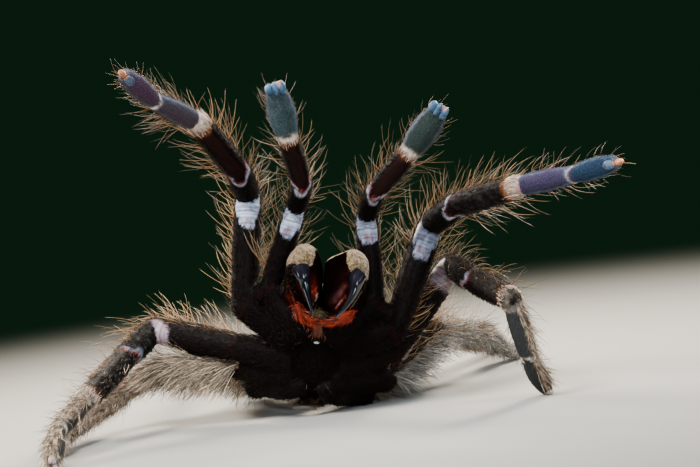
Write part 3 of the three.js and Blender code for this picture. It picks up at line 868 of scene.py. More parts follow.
class Look:
    """A material with one Principled shader, and a way to add nodes."""

    def __init__(self, name, **constants):
        self.material = bpy.data.materials.new(name)
        self.material.use_nodes = True
        self.tree = self.material.node_tree
        self.shader = self.tree.nodes["Principled BSDF"]
        for socket, value in constants.items():
            self.shader.inputs[socket.replace("_", " ")].default_value = value

    def node(self, kind, settings=None, inputs=None, out=0):
        """A new node with its settings and inputs, as the value of one of its outputs."""
        made = self.tree.nodes.new(kind)
        for name, value in (settings or {}).items():
            setattr(made, name, value)
        for name, value in (inputs or {}).items():
            if isinstance(value, Value):
                self.tree.links.new(value.socket, made.inputs[name])
            else:
                made.inputs[name].default_value = value
        return Value(self, made.outputs[out])

    def feed(self, socket, value):
        """Joins a value to a socket of the shader."""
        self.tree.links.new(value.socket, self.shader.inputs[socket])

    def stored(self, name, vector=False):
        """A number or a vector that the mesh carries."""
        return self.node("ShaderNodeAttribute", {"attribute_name": name}, out=1 if vector else 2)

    def colour(self, name):
        """A colour that the mesh carries."""
        return self.node("ShaderNodeAttribute", {"attribute_name": name})

    def place(self):
        """The place on the object, in metres."""
        return self.node("ShaderNodeTexCoord", out=3)

    def grain(self, vector, scale, detail=2.0, roughness=0.5):
        """Noise from 0 to 1."""
        inputs = {"Vector": vector, "Scale": scale, "Detail": detail, "Roughness": roughness}
        return self.node("ShaderNodeTexNoise", {}, inputs)

    def scaled(self, vector, amount):
        """A colour or a vector times an amount."""
        settings = {"operation": "SCALE"}
        return self.node("ShaderNodeVectorMath", settings, {0: vector, "Scale": amount})

    def bumped(self, height, distance, strength=1.0):
        """A normal bent by the slope of a height."""
        inputs = {"Height": height, "Distance": distance, "Strength": strength}
        return self.node("ShaderNodeBump", {}, inputs)


# %% [markdown]
# ## The skin's material
# Under the coat lies a dull cuticle, and at the joints a moist folded membrane. The folds could
# be modelled, but they are finer than the mesh. So noise, drawn out across the limb, bends the
# light instead, and a thin clear coat gives the folds their damp shine. The same noise paints
# shade into the colour between the folds.

# %% The skin's material
look = Look("coat_skin", Specular_IOR_Level=0.03, Coat_Roughness=0.3)
streaks = look.grain(look.stored("lie", True), 2300, 3.0)
clumps = look.grain(look.stored("lie", True), 700, 2.0)
speckle = look.grain(look.place(), 5200, 1.0)
pads = look.stored("pad")
folds = look.stored("wrinkles")
shiny = look.stored("gloss")
velvety = streaks * (1 - pads) + speckle * pads
shade = 0.45 + 0.65 * velvety.smooth(0.3, 0.7) + 0.35 * clumps
fold_place = look.node("ShaderNodeCombineXYZ", {}, {"X": look.stored("along") * 2600, "Y": clumps * 1.6})
fold_waves = look.grain(fold_place, 1.0, 1.5)
# painted shade: the colour is darkened between the folds, in the creases
crease_shade = 1 - 0.6 * (1 - fold_waves.smooth(0.38, 0.6))
look.feed("Base Color", look.scaled(look.colour("tint"), shade * (1 - folds) + crease_shade * folds * 1.1))
look.feed("Roughness", 0.62 - 0.14 * folds + 0.1 * speckle)
look.feed("Coat Weight", 0.12 * shiny + 0.4 * folds)
fur_height = streaks * (1 - folds) * (1 - 0.5 * pads) + speckle * pads * 0.8
look.feed("Normal", look.bumped(fur_height * 0.7 + fold_waves * folds * 1.6, 0.16 * mm, 0.9))
skin.data.materials.clear()
skin.data.materials.append(look.material)

fleshy = [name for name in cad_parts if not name.startswith(("chelicera", "fang", "eye"))]
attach(skin, "root")
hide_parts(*fleshy)
print("skin replaces", len(fleshy), "nodes")


# %% [markdown]
# ## Jaws
# The jaws are two barrels that point forwards, here up and towards the viewer. Each has a smooth
# inner face, a furrow for its fang with red hair along it, and a pale velvet cap over its end. They
# keep finer meshes of their own, since they are what the eye goes to.

# %% The jaws
JAW_DEPTH = 0.12 * mm
BETWEEN_JAWS = 0.04 * mm
outward_sides = {"chelicera_right": -1, "chelicera_left": 1}
INNER_SWELL = {"chelicera_right": 0.5, "chelicera_left": 1.5}
OUTER_TRIM = {"chelicera_right": 0.5, "chelicera_left": 0.1}
SLANT = {"chelicera_right": 0.7, "chelicera_left": -0.5}


def furrowed(stretch, outward_sign):
    """An egg with a flat inner face and a furrow below its end, where the fang folds in."""
    plain = egg(stretch, JAW_DEPTH)

    def place_at(share, angle):
        places = plain(share, angle)
        inwards = -outward_sign * np.cos(angle)
        down = np.sin(angle)
        trim = OUTER_TRIM[stretch.node] * mm * rise(-inwards, 0.1, 0.8) * rise(share, 0.1, 0.4)
        full = INNER_SWELL[stretch.node] * mm * rise(inwards, 0.1, 0.8) * rise(share, 0.1, 0.35)
        full *= rise(-share, -0.92, -0.6)
        furrow = 0.6 * mm * hill(inwards, 0.3, 0.25) * rise(down, 0.3, 0.8) * rise(share, 0.1, 0.3)
        furrow *= rise(-share, -0.85, -0.7)
        out = np.outer(np.cos(angle), stretch.across) + np.outer(np.sin(angle), stretch.belly)
        slant = SLANT[stretch.node] * mm * inwards * rise(share, 0.55, 0.95)
        slant = slant * np.sqrt(np.maximum(1 - share, 0)) * 2
        places = places + out * (full - furrow - trim)[:, None] + np.outer(slant, stretch.axis)
        past = (places - carapace_middle) @ LEFTWARD * outward_sides[stretch.node]
        return places - np.outer(np.minimum(past - BETWEEN_JAWS, 0) * outward_sides[stretch.node], LEFTWARD)

    return place_at


def jaw_spot(stretch, outward_sign, points):
    """Share of the length, inwardness and belly side of points on a jaw."""
    along = (points - stretch.start) @ stretch.axis / stretch.length
    sideways, down, _ = stretch.across_and_down(points - stretch.start, np.clip(along, 0, 1))
    return along, -outward_sign * sideways, down


def face_edge(stretch, along, turned):
    """Where the bare inner face of a jaw begins, near its end, as inwardness."""
    half = stretch.at(np.clip(along, 0, 1), stretch.halves)[:, 0] / mm
    straight = 0.5 + 4.5 * np.maximum(along - 0.83, 0)
    slanting = (7.5 * (along - 0.83) - 0.1) / half
    return (1 - turned) * straight + turned * np.maximum(slanting, -0.1)


CAP_TURN = {"right": 0.0, "left": 1.0}
CAP_GRAIN = 0.24 * mm
COLOURS["velvet"] = linear(232, 198, 146)
COLOURS["velvet_dark"] = linear(96, 66, 36)
COLOURS["facet"] = linear(4, 1, 1)
COLOURS["jaw_brown"] = linear(52, 36, 24)
COLOURS["wet_brown"] = linear(38, 12, 11)
# painted highlight: a rose sheen on the jaws' wet inner faces
COLOURS["rose_highlight"] = linear(116, 66, 66)
COLOURS["furrow"] = linear(160, 50, 26)
COLOURS["furrow_dark"] = linear(84, 16, 10)
# pale strokes on the jaws: partly real pale lines, partly painted glints
COLOURS["furrow_pale_and_glint"] = linear(236, 196, 186)

# strokes on a jaw's inner side: a colour, (inwards, along) at both ends, a width, a strength
STROKES = {
    "right": (
        ("wet_brown", (0.62, 0.66), (0.72, 0.28), 0.26, 0.9),
        ("furrow_dark", (0.7, 0.64), (0.76, 0.34), 0.1, 0.8),
        ("furrow", (0.8, 0.56), (0.82, 0.4), 0.035, 1.0),
        ("furrow", (0.62, 0.6), (0.68, 0.46), 0.022, 0.8),
        ("furrow_pale_and_glint", (0.86, 0.44), (0.83, 0.34), 0.03, 0.9),
        ("furrow_pale_and_glint", (0.5, 0.37), (0.86, 0.19), 0.03, 0.8),
        ("rose_highlight", (0.42, 0.66), (0.5, 0.38), 0.04, 0.6),
        ("furrow_dark", (-0.1, 0.64), (0.3, 0.36), 0.05, 0.9),
        ("furrow_dark", (-0.95, 0.55), (-0.7, 0.3), 0.06, 0.8),
        ("furrow", (-0.62, 0.5), (-0.1, 0.27), 0.035, 0.8),
        ("furrow_dark", (-0.75, 0.42), (-0.3, 0.2), 0.1, 0.8),
        ("furrow_pale_and_glint", (-1.0, 0.84), (-1.0, 0.6), 0.06, 0.6),
    ),
    "left": (
        ("wet_brown", (0.3, 0.68), (0.55, 0.3), 0.3, 0.8),
        ("rose_highlight", (0.28, 0.62), (0.5, 0.46), 0.13, 0.7),
        ("furrow", (0.18, 0.66), (0.2, 0.6), 0.03, 0.8),
        ("furrow", (0.06, 0.5), (0.46, 0.25), 0.06, 1.0),
        ("furrow_pale_and_glint", (0.16, 0.42), (0.4, 0.3), 0.025, 0.7),
        ("furrow_pale_and_glint", (-0.72, 0.56), (-0.4, 0.36), 0.02, 0.5),
        ("furrow_dark", (0.0, 0.42), (0.36, 0.2), 0.06, 0.9),
    ),
}


def cap_cover(stretch, along, inwards, down, turned):
    """How much of the pale velvet cap covers a place on a jaw."""
    edge = 0.885 - 0.2 * rise(-inwards, 0.3, 1.0) - 0.32 * rise(-down, 0.0, 0.9)
    cover = rise(along, edge - 0.02, edge + 0.02)
    belly = rise(down, -0.98, -0.82)
    return cover * (1 - belly * rise(inwards - face_edge(stretch, along, turned), -0.03, 0.05))


def grains(points, size):
    """A number from 0 to 1 for each place, the same within a grain of the given size."""
    cell = np.floor(points / size)
    return np.modf(np.abs(np.sin(cell @ np.array((12.99, 78.23, 37.72)))) * 4375.85)[0]


def stroke(inwards, along, start, end, width):
    """A soft line between two places, on a jaw that is twice as long as wide."""
    place = np.c_[inwards, 2 * along]
    start = np.array((start[0], 2 * start[1]))
    end = np.array((end[0], 2 * end[1]))
    run = end - start
    share = np.clip((place - start) @ run / (run @ run), 0, 1)
    away = np.linalg.norm(place - start - share[:, None] * run, axis=1)
    return hill(away, 0, width) * (0.5 + 0.5 * np.sin(pi * np.clip(share, 0.15, 0.85)))


def jaw_look(side, along, inwards, down, points):
    """Colours of a jaw's skin, and how much of its cap covers each point."""
    uneven = ripple(points, 0.5 * mm)
    tint = np.tile(COLOURS["black"], (len(points), 1))
    tint = paint(tint, "facet", rise(inwards, 0.3, 0.7))
    for colour, start, end, width, strength in STROKES[side]:
        line = stroke(inwards + 0.03 * uneven, along, start, end, width)
        tint = paint(tint, colour, line * strength * rise(down, -0.2, 0.2) * (0.85 + 0.3 * uneven))
    cap = cap_cover(jaws[side][0], along + 0.012 * uneven, inwards, down, CAP_TURN[side])
    tint = paint(tint, "jaw_brown", 0.8 * rise(-down, 0.05, 0.5) * (1 - rise(inwards, 0.3, 0.7)))
    tint = paint(tint, mixed_tint("velvet_dark", "velvet", 0.7 * grains(points, CAP_GRAIN)), cap)
    return tint, cap


jaw_material = Look("jaw_skin", Specular_IOR_Level=0.0, Coat_Roughness=0.18)
look = jaw_material
grain = look.grain(look.place(), 3600, 2.0)
cap_share = look.stored("cap")
wet = look.stored("wet")
dappled = 1 - cap_share * 0.8 * (1 - grain.smooth(0.38, 0.58))
look.feed("Base Color", look.scaled(look.colour("tint"), dappled))
look.feed("Roughness", 0.6 + 0.2 * cap_share)
look.feed("Coat Weight", 0.2 * wet)
look.feed("Normal", look.bumped(grain * (0.5 * wet + cap_share + 0.1), 0.14 * mm))

jaw_pieces = {}
outward_signs = {}
for side in SIDES:
    stretch, outwards = jaws[side]
    outward_signs[side] = float(np.sign(stretch.across @ outwards))
    bm = bmesh.new()
    drawn_sphere(bm, furrowed(stretch, outward_signs[side]), 120, 96)
    piece = object_from(bm, f"jaw_{side}")
    places = vertex_places(piece.data)
    along, inwards, down = jaw_spot(stretch, outward_signs[side], places)
    tint, cap = jaw_look(side, along, inwards, down, places)
    keep(piece.data, "tint", tint)
    keep(piece.data, "cap", cap)
    keep(piece.data, "wet", hill(inwards, 0.45, 0.35) * rise(down, 0, 0.4) * hill(along, 0.4, 0.15))
    piece.data.materials.append(jaw_material.material)
    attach(piece, "root")
    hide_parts(f"chelicera_{side}")
    jaw_pieces[side] = piece
print("jaws:", len(places), "vertices each")


# %% [markdown]
# ## Fangs
# A fang is a hollow needle, round and polished, on a swollen root. It could be a curve with a
# bevel, but a tube laid through the measured slices follows their bend and girth, smoothed, with
# its depth made straight and its root set back and sunk into the jaw. The polish stops where a
# fang faces the ground, so that the pale floor leaves no grey streak on it.

# %% Fangs
fang_material = Look("fang", Roughness=0.4, Specular_IOR_Level=0.03, Coat_Roughness=0.1, Coat_IOR=1.7)
look = fang_material
look.feed("Coat Weight", look.stored("polish") * 0.9)
shade = look.grain(look.place(), 900, 2.0)
look.feed("Base Color", look.scaled(look.colour("tint"), 0.7 + 0.6 * shade))
COLOURS["fang"] = linear(4, 4, 6)
COLOURS["fang_root"] = linear(14, 11, 18)


def along_spine(middles, radii, turn_towards):
    """Places on a tube along a curve, with its end closed by the shrinking radius."""
    steps = np.linspace(0, 1, len(middles))
    runs = unit(np.gradient(middles, axis=0))
    first = unit(np.cross(runs, turn_towards))
    second = np.cross(runs, first)

    def place_at(share, angle):
        def read(table):
            return np.array([np.interp(share, steps, column) for column in table.T]).T

        radius = np.interp(share, steps, radii) * np.minimum(1, np.sqrt(np.maximum(share, 0) * 12))
        ring = np.cos(angle)[:, None] * read(first) + np.sin(angle)[:, None] * read(second)
        return read(middles) + radius[:, None] * ring

    return place_at


ROOT_SWELL = 0.15 * mm
ROOT_SINK = 0.7 * mm
ROOT_INSET = {"right": 0.0, "left": 0.5 * mm}
SET_BACK = 1.0 * mm
for side in SIDES:
    middles, radii = fangs[side]
    jaw, outwards = jaws[side]
    radii = np.maximum.accumulate(radii[::-1])[::-1]
    steps = np.linspace(0, 1, 28)
    run = np.append(0, np.cumsum(np.linalg.norm(np.diff(middles, axis=0), axis=1)))
    middles = np.array([np.interp(steps, run / run[-1], column) for column in middles.T]).T
    radii = np.interp(steps, run / run[-1], radii)
    for _ in range(8):
        middles[1:-1] = (middles[:-2] + 2 * middles[1:-1] + middles[2:]) / 4
        radii[1:-1] = (radii[:-2] + 2 * radii[1:-1] + radii[2:]) / 4
    radii = radii * 0.97 + ROOT_SWELL * rise(-steps, -0.3, -0.1)
    straight = np.linspace(middles[0, 1], middles[-1, 1], len(middles))
    middles[:, 1] = straight + SET_BACK * rise(-steps, -1.0, -0.3)
    sunk = rise(-steps, -0.3, 0.0)[:, None]
    middles = middles - sunk * (ROOT_SINK * (jaw.belly + 0.6 * jaw.axis) + ROOT_INSET[side] * outwards)
    bm = bmesh.new()
    drawn_sphere(bm, along_spine(middles, radii, LEFTWARD), 40, 90)
    piece = object_from(bm, f"fang_smooth_{side}")
    places = vertex_places(piece.data)
    near_root = rise(-np.linalg.norm(places - middles[0], axis=1), -4.2 * mm, -2.4 * mm)
    tint = paint(np.tile(COLOURS["fang"], (len(places), 1)), "fang_root", near_root)
    keep(piece.data, "tint", tint)
    keep(piece.data, "polish", rise(vertex_places(piece.data, "normal")[:, 2], -0.22, -0.04))
    piece.data.materials.append(fang_material.material)
    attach(piece, "root")
    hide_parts(f"fang_{side}")


# %% [markdown]
# ## Eyes
# The eight eyes of a tarantula are small and sit close together on a mound at the front of the
# carapace, four to each side. Separate eyes could be mirrored copies. Here all of them are balls
# in one mesh with their mound, since they never move and one piece is easier to keep.

# %% Eyes
eye_points = triangles["eye_group"].reshape(-1, 3)
eye_middle = eye_points.mean(0)
eye_low, eye_high = reach("eye_group", (LEFTWARD, FORWARD, -VENTRAL), eye_middle)
mound_width, mound_length = (eye_high - eye_low)[:2]
MOUND_SHARE = 0.46
MOUND_HEIGHT = 0.8 * mm
EYE_DARK = (0.03, 0.022, 0.02)

# eyes of one side: across and ahead in shares of the mound, and a radius in millimetres
EYES = ((0.15, 0.17, 0.3), (0.36, 0.3, 0.28), (0.28, -0.2, 0.2), (0.4, -0.17, 0.24))
bm = bmesh.new()
mound_across = LEFTWARD * MOUND_SHARE * mound_width
mound_ahead = FORWARD * MOUND_SHARE * mound_length
oval(bm, eye_middle, (mound_across, mound_ahead, -VENTRAL * MOUND_HEIGHT), 40, 24)
for face in bm.faces:
    face.material_index = 1
for across, ahead, radius in EYES:
    for side in SIDES.values():
        steepness = 1 - (across / 0.5) ** 2 * 0.8 - (ahead / 0.5) ** 2 * 0.8
        height = np.sqrt(max(0.1, steepness)) * MOUND_HEIGHT
        place = eye_middle + side * across * mound_width * LEFTWARD
        place = place + ahead * mound_length * FORWARD - VENTRAL * height
        oval(bm, place, np.eye(3) * radius * mm, 24, 16)
eyes = object_from(bm, "eyes")
eye_material = Look("eye", Roughness=0.05, Coat_Weight=1.0, Coat_Roughness=0.02)
depth = eye_material.grain(eye_material.place(), 1500, 1.0)
eye_material.feed("Base Color", eye_material.scaled(EYE_DARK, depth))
mound_material = Look("eye_mound", Roughness=0.6)
mound_grain = mound_material.grain(mound_material.place(), 3000, 2.0)
mound_material.feed("Roughness", 0.45 + 0.3 * mound_grain)
mound_material.shader.inputs["Base Color"].default_value = (*COLOURS["trunk"], 1)
mound_material.feed("Normal", mound_material.bumped(mound_grain, 0.08 * mm))
eyes.data.materials.append(eye_material.material)
eyes.data.materials.append(mound_material.material)
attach(eyes, "root")
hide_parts("eye_group")


# %% [markdown]
# ## The coat
# Every hair or lock is a thin three-sided spike, rooted in the skin and curved along the lie of
# the coat. Blender's own hair curves would be quicker to make, but they are no mesh, and a model
# has to leave Blender as one. So the spikes are real triangles, made all at once from arrays.
# Their colour map gives each one a small patch at its root's place on an unrolled skin, so
# neighbouring spikes keep neighbouring colours.

# %% Making spikes
UNROLL_COLUMNS = 9
UNROLL_ROWS = -(-len(stretches) // UNROLL_COLUMNS)
CELL_MARGIN = 0.05
CELL_SHARE = 0.88
PATCH = 0.003
ROOT_DEPTH = 0.12 * mm
LOWEST_HAIR = 0.02 * mm
TAPER = 0.55


def unrolled(spot):
    """The place of spots on the unrolled skin: a cell per stretch, by length and by turn."""
    turn = (np.arctan2(spot.beside, spot.under) / tau) % 1
    column = spot.which % UNROLL_COLUMNS
    row = spot.which // UNROLL_COLUMNS
    across = (column + CELL_MARGIN + CELL_SHARE * turn) / UNROLL_COLUMNS
    up = (row + CELL_MARGIN + CELL_SHARE * np.clip(0.1 + 0.8 * spot.share, 0, 1)) / UNROLL_ROWS
    return np.c_[across, up]


def spike_corners(roots, out, lie, length, width, lift, droop, steps):
    """The corners of all spikes: three at each step from the root, and one at the tip."""
    lie = unit(lie - np.einsum("ij,ij->i", lie, out)[:, None] * out)
    side = np.cross(out, lie)
    start = np.cos(lift)[:, None] * lie + np.sin(lift)[:, None] * out
    spine = [roots - ROOT_DEPTH * out]
    for step in steps[1:]:
        bent = (droop * step**1.6)[:, None]
        sway = (0.12 * np.sin(droop * 40) * step**2)[:, None]
        way = start * step + bent * (lie * 0.6 - out * 0.5) + side * sway
        spine.append(roots + length[:, None] * way)
    spine = np.array(spine)
    corners = []
    for ring, step in enumerate(steps[:-1]):
        along = unit(spine[ring + 1] - spine[ring])
        first = unit(np.cross(along, side))
        second = np.cross(along, first)
        radius = (width / 2 * (1 - TAPER * step**1.5))[:, None]
        for corner in range(3):
            angle = tau * corner / 3
            corners.append(spine[ring] + radius * (cos(angle) * first + sin(angle) * second))
    corners.append(spine[-1])
    places = np.stack(corners, 1).reshape(-1, 3)
    places[:, 2] = np.maximum(places[:, 2], LOWEST_HAIR)
    return places


def spike_faces(steps):
    """The triangles of one spike, and their corners in its patch of the colour map."""
    rings = len(steps) - 1
    faces = []
    patch = []
    for ring in range(rings - 1):
        low = steps[ring]
        high = steps[ring + 1]
        for corner in range(3):
            a = 3 * ring + corner
            b = 3 * ring + (corner + 1) % 3
            left = corner / 3
            right = (corner + 1) / 3
            faces += [(a, b, b + 3), (a, b + 3, a + 3)]
            patch.append(((left, low), (right, low), (right, high)))
            patch.append(((left, low), (right, high), (left, high)))
    last = steps[rings - 1]
    for corner in range(3):
        a = 3 * (rings - 1) + corner
        b = 3 * (rings - 1) + (corner + 1) % 3
        faces.append((a, b, 3 * rings))
        patch.append(((corner / 3, last), ((corner + 1) / 3, last), ((corner + 0.5) / 3, 1.0)))
    faces.append((2, 1, 0))
    patch.append(((0.1, 0.0), (0.9, 0.0), (0.5, 0.2)))
    return np.array(faces), np.array(patch)


def spikes(name, material, roots, out, lie, length, width, lift, droop, root_tint, tip_tint, rings=2):
    """One mesh of many curved three-sided spikes."""
    count = len(roots)
    steps = np.linspace(0, 1, rings + 1)
    corners = spike_corners(roots, out, lie, length, width, lift, droop, steps)
    faces, patch = spike_faces(steps)
    loops = (faces[None] + (3 * rings + 1) * np.arange(count)[:, None, None]).reshape(-1)
    flat = (unrolled(Spot(roots))[:, None, None] + (patch[None] - 0.5) * PATCH).reshape(-1, 2)

    mesh = bpy.data.meshes.new(name)
    mesh.vertices.add(len(corners))
    mesh.vertices.foreach_set("co", corners.astype(np.float32).ravel())
    mesh.loops.add(len(loops))
    mesh.loops.foreach_set("vertex_index", loops.astype(np.int32))
    mesh.polygons.add(len(loops) // 3)
    mesh.polygons.foreach_set("loop_start", np.arange(0, len(loops), 3, dtype=np.int32))
    mesh.update(calc_edges=True)
    mesh.shade_smooth()
    mesh.uv_layers.new(name="OFBake").data.foreach_set("uv", flat.astype(np.float32).ravel())
    share = np.append(np.repeat(steps[:-1], 3), 1.0)[None, :, None]
    colours = root_tint[:, None] * (1 - share) + tip_tint[:, None] * share
    keep(mesh, "tint", colours.reshape(-1, 3))
    mesh.materials.append(material)
    made = bpy.data.objects.new(name, mesh)
    bpy.context.scene.collection.objects.link(made)
    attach(made, "root")
    print(f"{name}: {count} spikes, {len(loops) // 3} triangles")


def hair_material(name, roughness, specular, sheen=0.0):
    """A hair's gloss, and a little unevenness in the colour that the mesh carries."""
    look = Look(name, Roughness=roughness, Sheen_Weight=sheen, Specular_IOR_Level=specular)
    grain = look.grain(look.place(), 1600, 1.0)
    look.feed("Base Color", look.scaled(look.colour("tint"), 0.7 + 0.6 * grain))
    return look.material


SHORT_HAIR = hair_material("hair_short", 0.5, 0.05)
LONG_HAIR = hair_material("hair_long", 0.4, 0.2)
VELVET = hair_material("hair_velvet", 0.7, 0.15, 0.2)


# %% [markdown]
# ## Scattering roots
# Hair grows nearly everywhere on a tarantula, but denser in some places. A particle system could
# spread it. A few lines of arithmetic do the same and stay under control: a triangle is picked
# with a chance of its area times a weight, and the root is a random place on it.

# %% Scattering roots
THINNED = 1
CROWN = 0.4
FANNED = 60


def surface(piece, places):
    """The corners and areas of a piece's triangles, with the places and normals of its vertices."""
    corners = np.empty(len(piece.data.loop_triangles) * 3, np.int32)
    piece.data.loop_triangles.foreach_get("vertices", corners)
    corners = corners.reshape(-1, 3)
    first = places[corners[:, 1]] - places[corners[:, 0]]
    second = places[corners[:, 2]] - places[corners[:, 0]]
    areas = np.linalg.norm(np.cross(first, second), axis=1) / 2
    return corners, areas, places, vertex_places(piece.data, "normal")


skin_surface = surface(skin, skin_places)


def scattered(count, weights, where=skin_surface):
    """Roots and normals spread over a surface by weights given at its vertices."""
    corners, areas, places, normals = where
    chance = areas * weights[corners].mean(1)
    picks = draws.choice(len(corners), count // THINNED, p=chance / chance.sum())
    a = np.sqrt(draws.random(len(picks)))
    b = draws.random(len(picks))
    shares = np.c_[1 - a, a * (1 - b), a * b][:, :, None]
    chosen = corners[picks]
    return (places[chosen] * shares).sum(1), unit((normals[chosen] * shares).sum(1))


def between(low, high, count):
    """Random numbers between two bounds."""
    return draws.uniform(low, high, count)


def combed(spot, out, spread):
    """The lie of the coat: towards the limb's tip, a little uneven."""
    lie = spot.axis.copy()
    on_carapace = spot.kind == "carapace"
    outwards = spot.points - (body["carapace"].start + CROWN * body["carapace"].length * FORWARD)
    lie[on_carapace] = outwards[on_carapace] * FANNED - 0.4 * FORWARD
    side = np.cross(out, lie)
    return unit(lie) + unit(side) * draws.normal(0, spread, len(lie))[:, None]


def hairs(name, material, roots, out, lie, bounds, root_tint, tip_tint, rings=2):
    """Spikes with length and width in millimetres, lift in degrees and droop drawn within bounds."""
    n = len(roots)
    lengths, widths, lifts, droops = bounds
    length = between(*lengths, n) * mm
    width = between(*widths, n) * mm
    lift = np.radians(between(*lifts, n))
    droop = between(*droops, n)
    spikes(name, material, roots, out, lie, length, width, lift, droop, root_tint, tip_tint, rings)


# %% [markdown]
# ## The short coat
# Short hair lies flat over the whole animal and gives it its dull, soft black. Bump mapping alone
# would leave a hard outline, so real tufts break the outline up. They take their colours from the
# skin below, a little darker at the root and browner towards the tip.

# %% The short coat
def short_coat(name, count, weights):
    """Short lying tufts in the skin's own colours."""
    roots, out = scattered(count, weights)
    spot = Spot(roots)
    tint = skin_look(spot)[0]
    n = len(roots)
    foot = spot.on("metatarsus", "tarsus")
    lower = 1 - spot.of("palp", "leg_1", "leg_2_left", "carapace", "sternum", "abdomen", "spinneret")
    back = rise(-spot.under, 0.0, 0.6)
    brown = paint(tint, "hair_brown", 0.06 + (0.14 + 0.5 * lower * spot.on("tibia", "metatarsus")) * back)
    streaky = spot.of("leg_2_right") * spot.on("tibia") * rise(draws.random(n), 0.45, 1.0)
    brown = paint(brown, "fuzz", 0.5 * streaky)
    rear_leg = spot.of("leg_3", "leg_4")
    root_tint = tint * (between(0.6, 1.1, n) * (1 - 0.45 * rear_leg))[:, None]
    tip_tint = (0.6 * tint + 0.4 * brown) * between(0.9, 1.7, n)[:, None]
    tip_tint = paint(tip_tint, brown, streaky)
    length = between(0.6, 1.15, n) * (1 - 0.45 * foot) * mm
    width = between(0.075, 0.12, n) * mm
    lift = np.radians(between(8, 26, n))
    droop = between(0.05, 0.25, n)
    lie = combed(spot, out, 0.2)
    spikes(name, SHORT_HAIR, roots, out, lie, length, width, lift, droop, root_tint, tip_tint)


leg_side = {side: sum(skin_spot.limb == f"{limb}_{side}" for limb in LIMBS).astype(float) for side in SIDES}
covered = (1 - bare) * (1 - 0.9 * pad) * (1 - 0.6 * gloss)
for side in SIDES:
    short_coat(f"coat_short_{side}", 19500, covered * leg_side[side])
short_coat("coat_short_trunk", 13000, skin_spot.on("carapace", "sternum"))
short_coat("coat_short_abdomen", 16000, skin_spot.on("abdomen", "spinneret"))


# %% [markdown]
# ## Long bristles of the legs
# Golden-brown bristles stand off the backs of the legs, and catch the light from behind. They
# could be curves with a bevel, but a few thousand of them are lighter as spikes with more rings,
# which let them bend. The belly side, the wrinkled membranes and the joints stay free.

# %% Long bristles of the legs
COLOURS["gold_root"] = linear(158, 90, 20)
COLOURS["gold_tip"] = linear(178, 154, 108)
COLOURS["grey_tip"] = linear(150, 146, 128)


def bristles(name, count, weights, low, high, lifts, rings, thick):
    """Long bristles of the legs, from low to high millimetres, with few of the longest."""
    roots, out = scattered(count, weights)
    spot = Spot(roots)
    n = len(roots)
    foot = spot.on("metatarsus", "tarsus")
    short_foot = foot * (1 - 0.8 * spot.of("leg_1_right") * spot.on("metatarsus"))
    length = (low + (high - low) * draws.random(n) ** 1.25) * (1 - 0.35 * short_foot)
    length = length * (1 - 0.35 * spot.on("tarsus")) * mm
    length *= 1 - 0.4 * rise(spot.under, 0.2, 0.7)
    width = between(0.75, 1.15, n) * thick * mm
    lift = np.radians(between(*lifts, n))
    droop = draws.normal(0.6, 0.22, n)
    lie = combed(spot, out, 0.36)
    root_tint = mixed_tint("gold_root", "hair_brown", between(0, 0.3, n))
    tip_tint = mixed_tint("gold_tip", "grey_tip", np.clip(0.8 * foot + between(0, 0.8, n), 0, 1))
    # painted shade: bristles of the left limbs, away from the key lamp, are painted a fifth darker
    far_side = spot.of(*(f"{limb}_left" for limb in LIMBS))
    dim = (1 - 0.2 * far_side) * (1 - 0.6 * spot.on("coxa"))
    dim = dim * (1 - 0.3 * spot.of("palp") - 0.25 * spot.of("leg_2_left"))
    inner_side = rise(out @ LEFTWARD, -0.3, 0.1)
    dim *= 1 + spot.of("leg_1_right") * (0.75 * spot.on("femur") * (1 - inner_side) - 0.32)
    shade = (between(0.12, 1.3, n) * dim)[:, None]
    root_tint = root_tint * shade
    tip_tint = tip_tint * shade
    spikes(
        name, LONG_HAIR, roots, out, lie, length, width, lift, droop, root_tint, tip_tint, rings
    )


hairy = skin_spot.on("femur", "patella", "tibia")
hairy = hairy + 0.75 * skin_spot.on("metatarsus") + 0.6 * skin_spot.on("tarsus")
hairy += skin_spot.of("leg_1_right") * (1.2 * skin_spot.on("metatarsus") + 0.4 * skin_spot.on("tarsus"))
hairy = hairy * (1 - bare) * (1 - rise(skin_spot.under, -0.15, 0.2))
hairy *= 1 - 0.6 * skin_spot.of("leg_2_left") * skin_spot.on("patella", "tibia")
hips = skin_spot.on("coxa") * rise(-skin_spot.under, 0.0, 0.4)
hairy *= 1 - 0.15 * (1 - skin_spot.of("palp", "leg_1"))
hairy *= 1 - 0.45 * skin_spot.of("leg_2_left") * skin_spot.on("femur", "coxa")
for side in SIDES:
    bristles(f"bristles_long_{side}", 1500, hairy * leg_side[side], 3.1, 7.2, (56, 86), 6, thick=0.072)
    fine_weights = (hairy + hips) * leg_side[side]
    bristles(f"bristles_fine_{side}", 2900, fine_weights, 1.0, 2.8, (26, 70), 3, thick=0.05)


# %% [markdown]
# ## Long hair of the trunk
# The abdomen wears a loose coat of rust-red hair, and the carapace a golden rim. Combing them by
# hand would follow a real animal more closely, but the weights below already say where hair is
# long: on the abdomen's back, on the spinnerets and along the carapace's edge.

# %% Long hair of the trunk
COLOURS["rust"] = linear(112, 52, 30)
COLOURS["rust_tip"] = linear(176, 122, 80)


def trunk_hair(name, count, weights, low, high, lifts, root_colour, tip_colour):
    """Long hairs that stand out of the abdomen or off the rim of the carapace."""
    roots, out = scattered(count, weights)
    spot = Spot(roots)
    n = len(roots)
    shade = between(0.35, 1.1, n)[:, None]
    lie = combed(spot, out, 0.35)
    length = (low + (high - low) * draws.random(n) ** 1.5) * mm
    width = between(0.06, 0.09, n) * mm
    lift = np.radians(between(*lifts, n))
    droop = draws.normal(0.4, 0.2, n)
    root_tint = COLOURS[root_colour] * shade
    tip_tint = COLOURS[tip_colour] * shade
    spikes(name, LONG_HAIR, roots, out, lie, length, width, lift, droop, root_tint, tip_tint, 4)


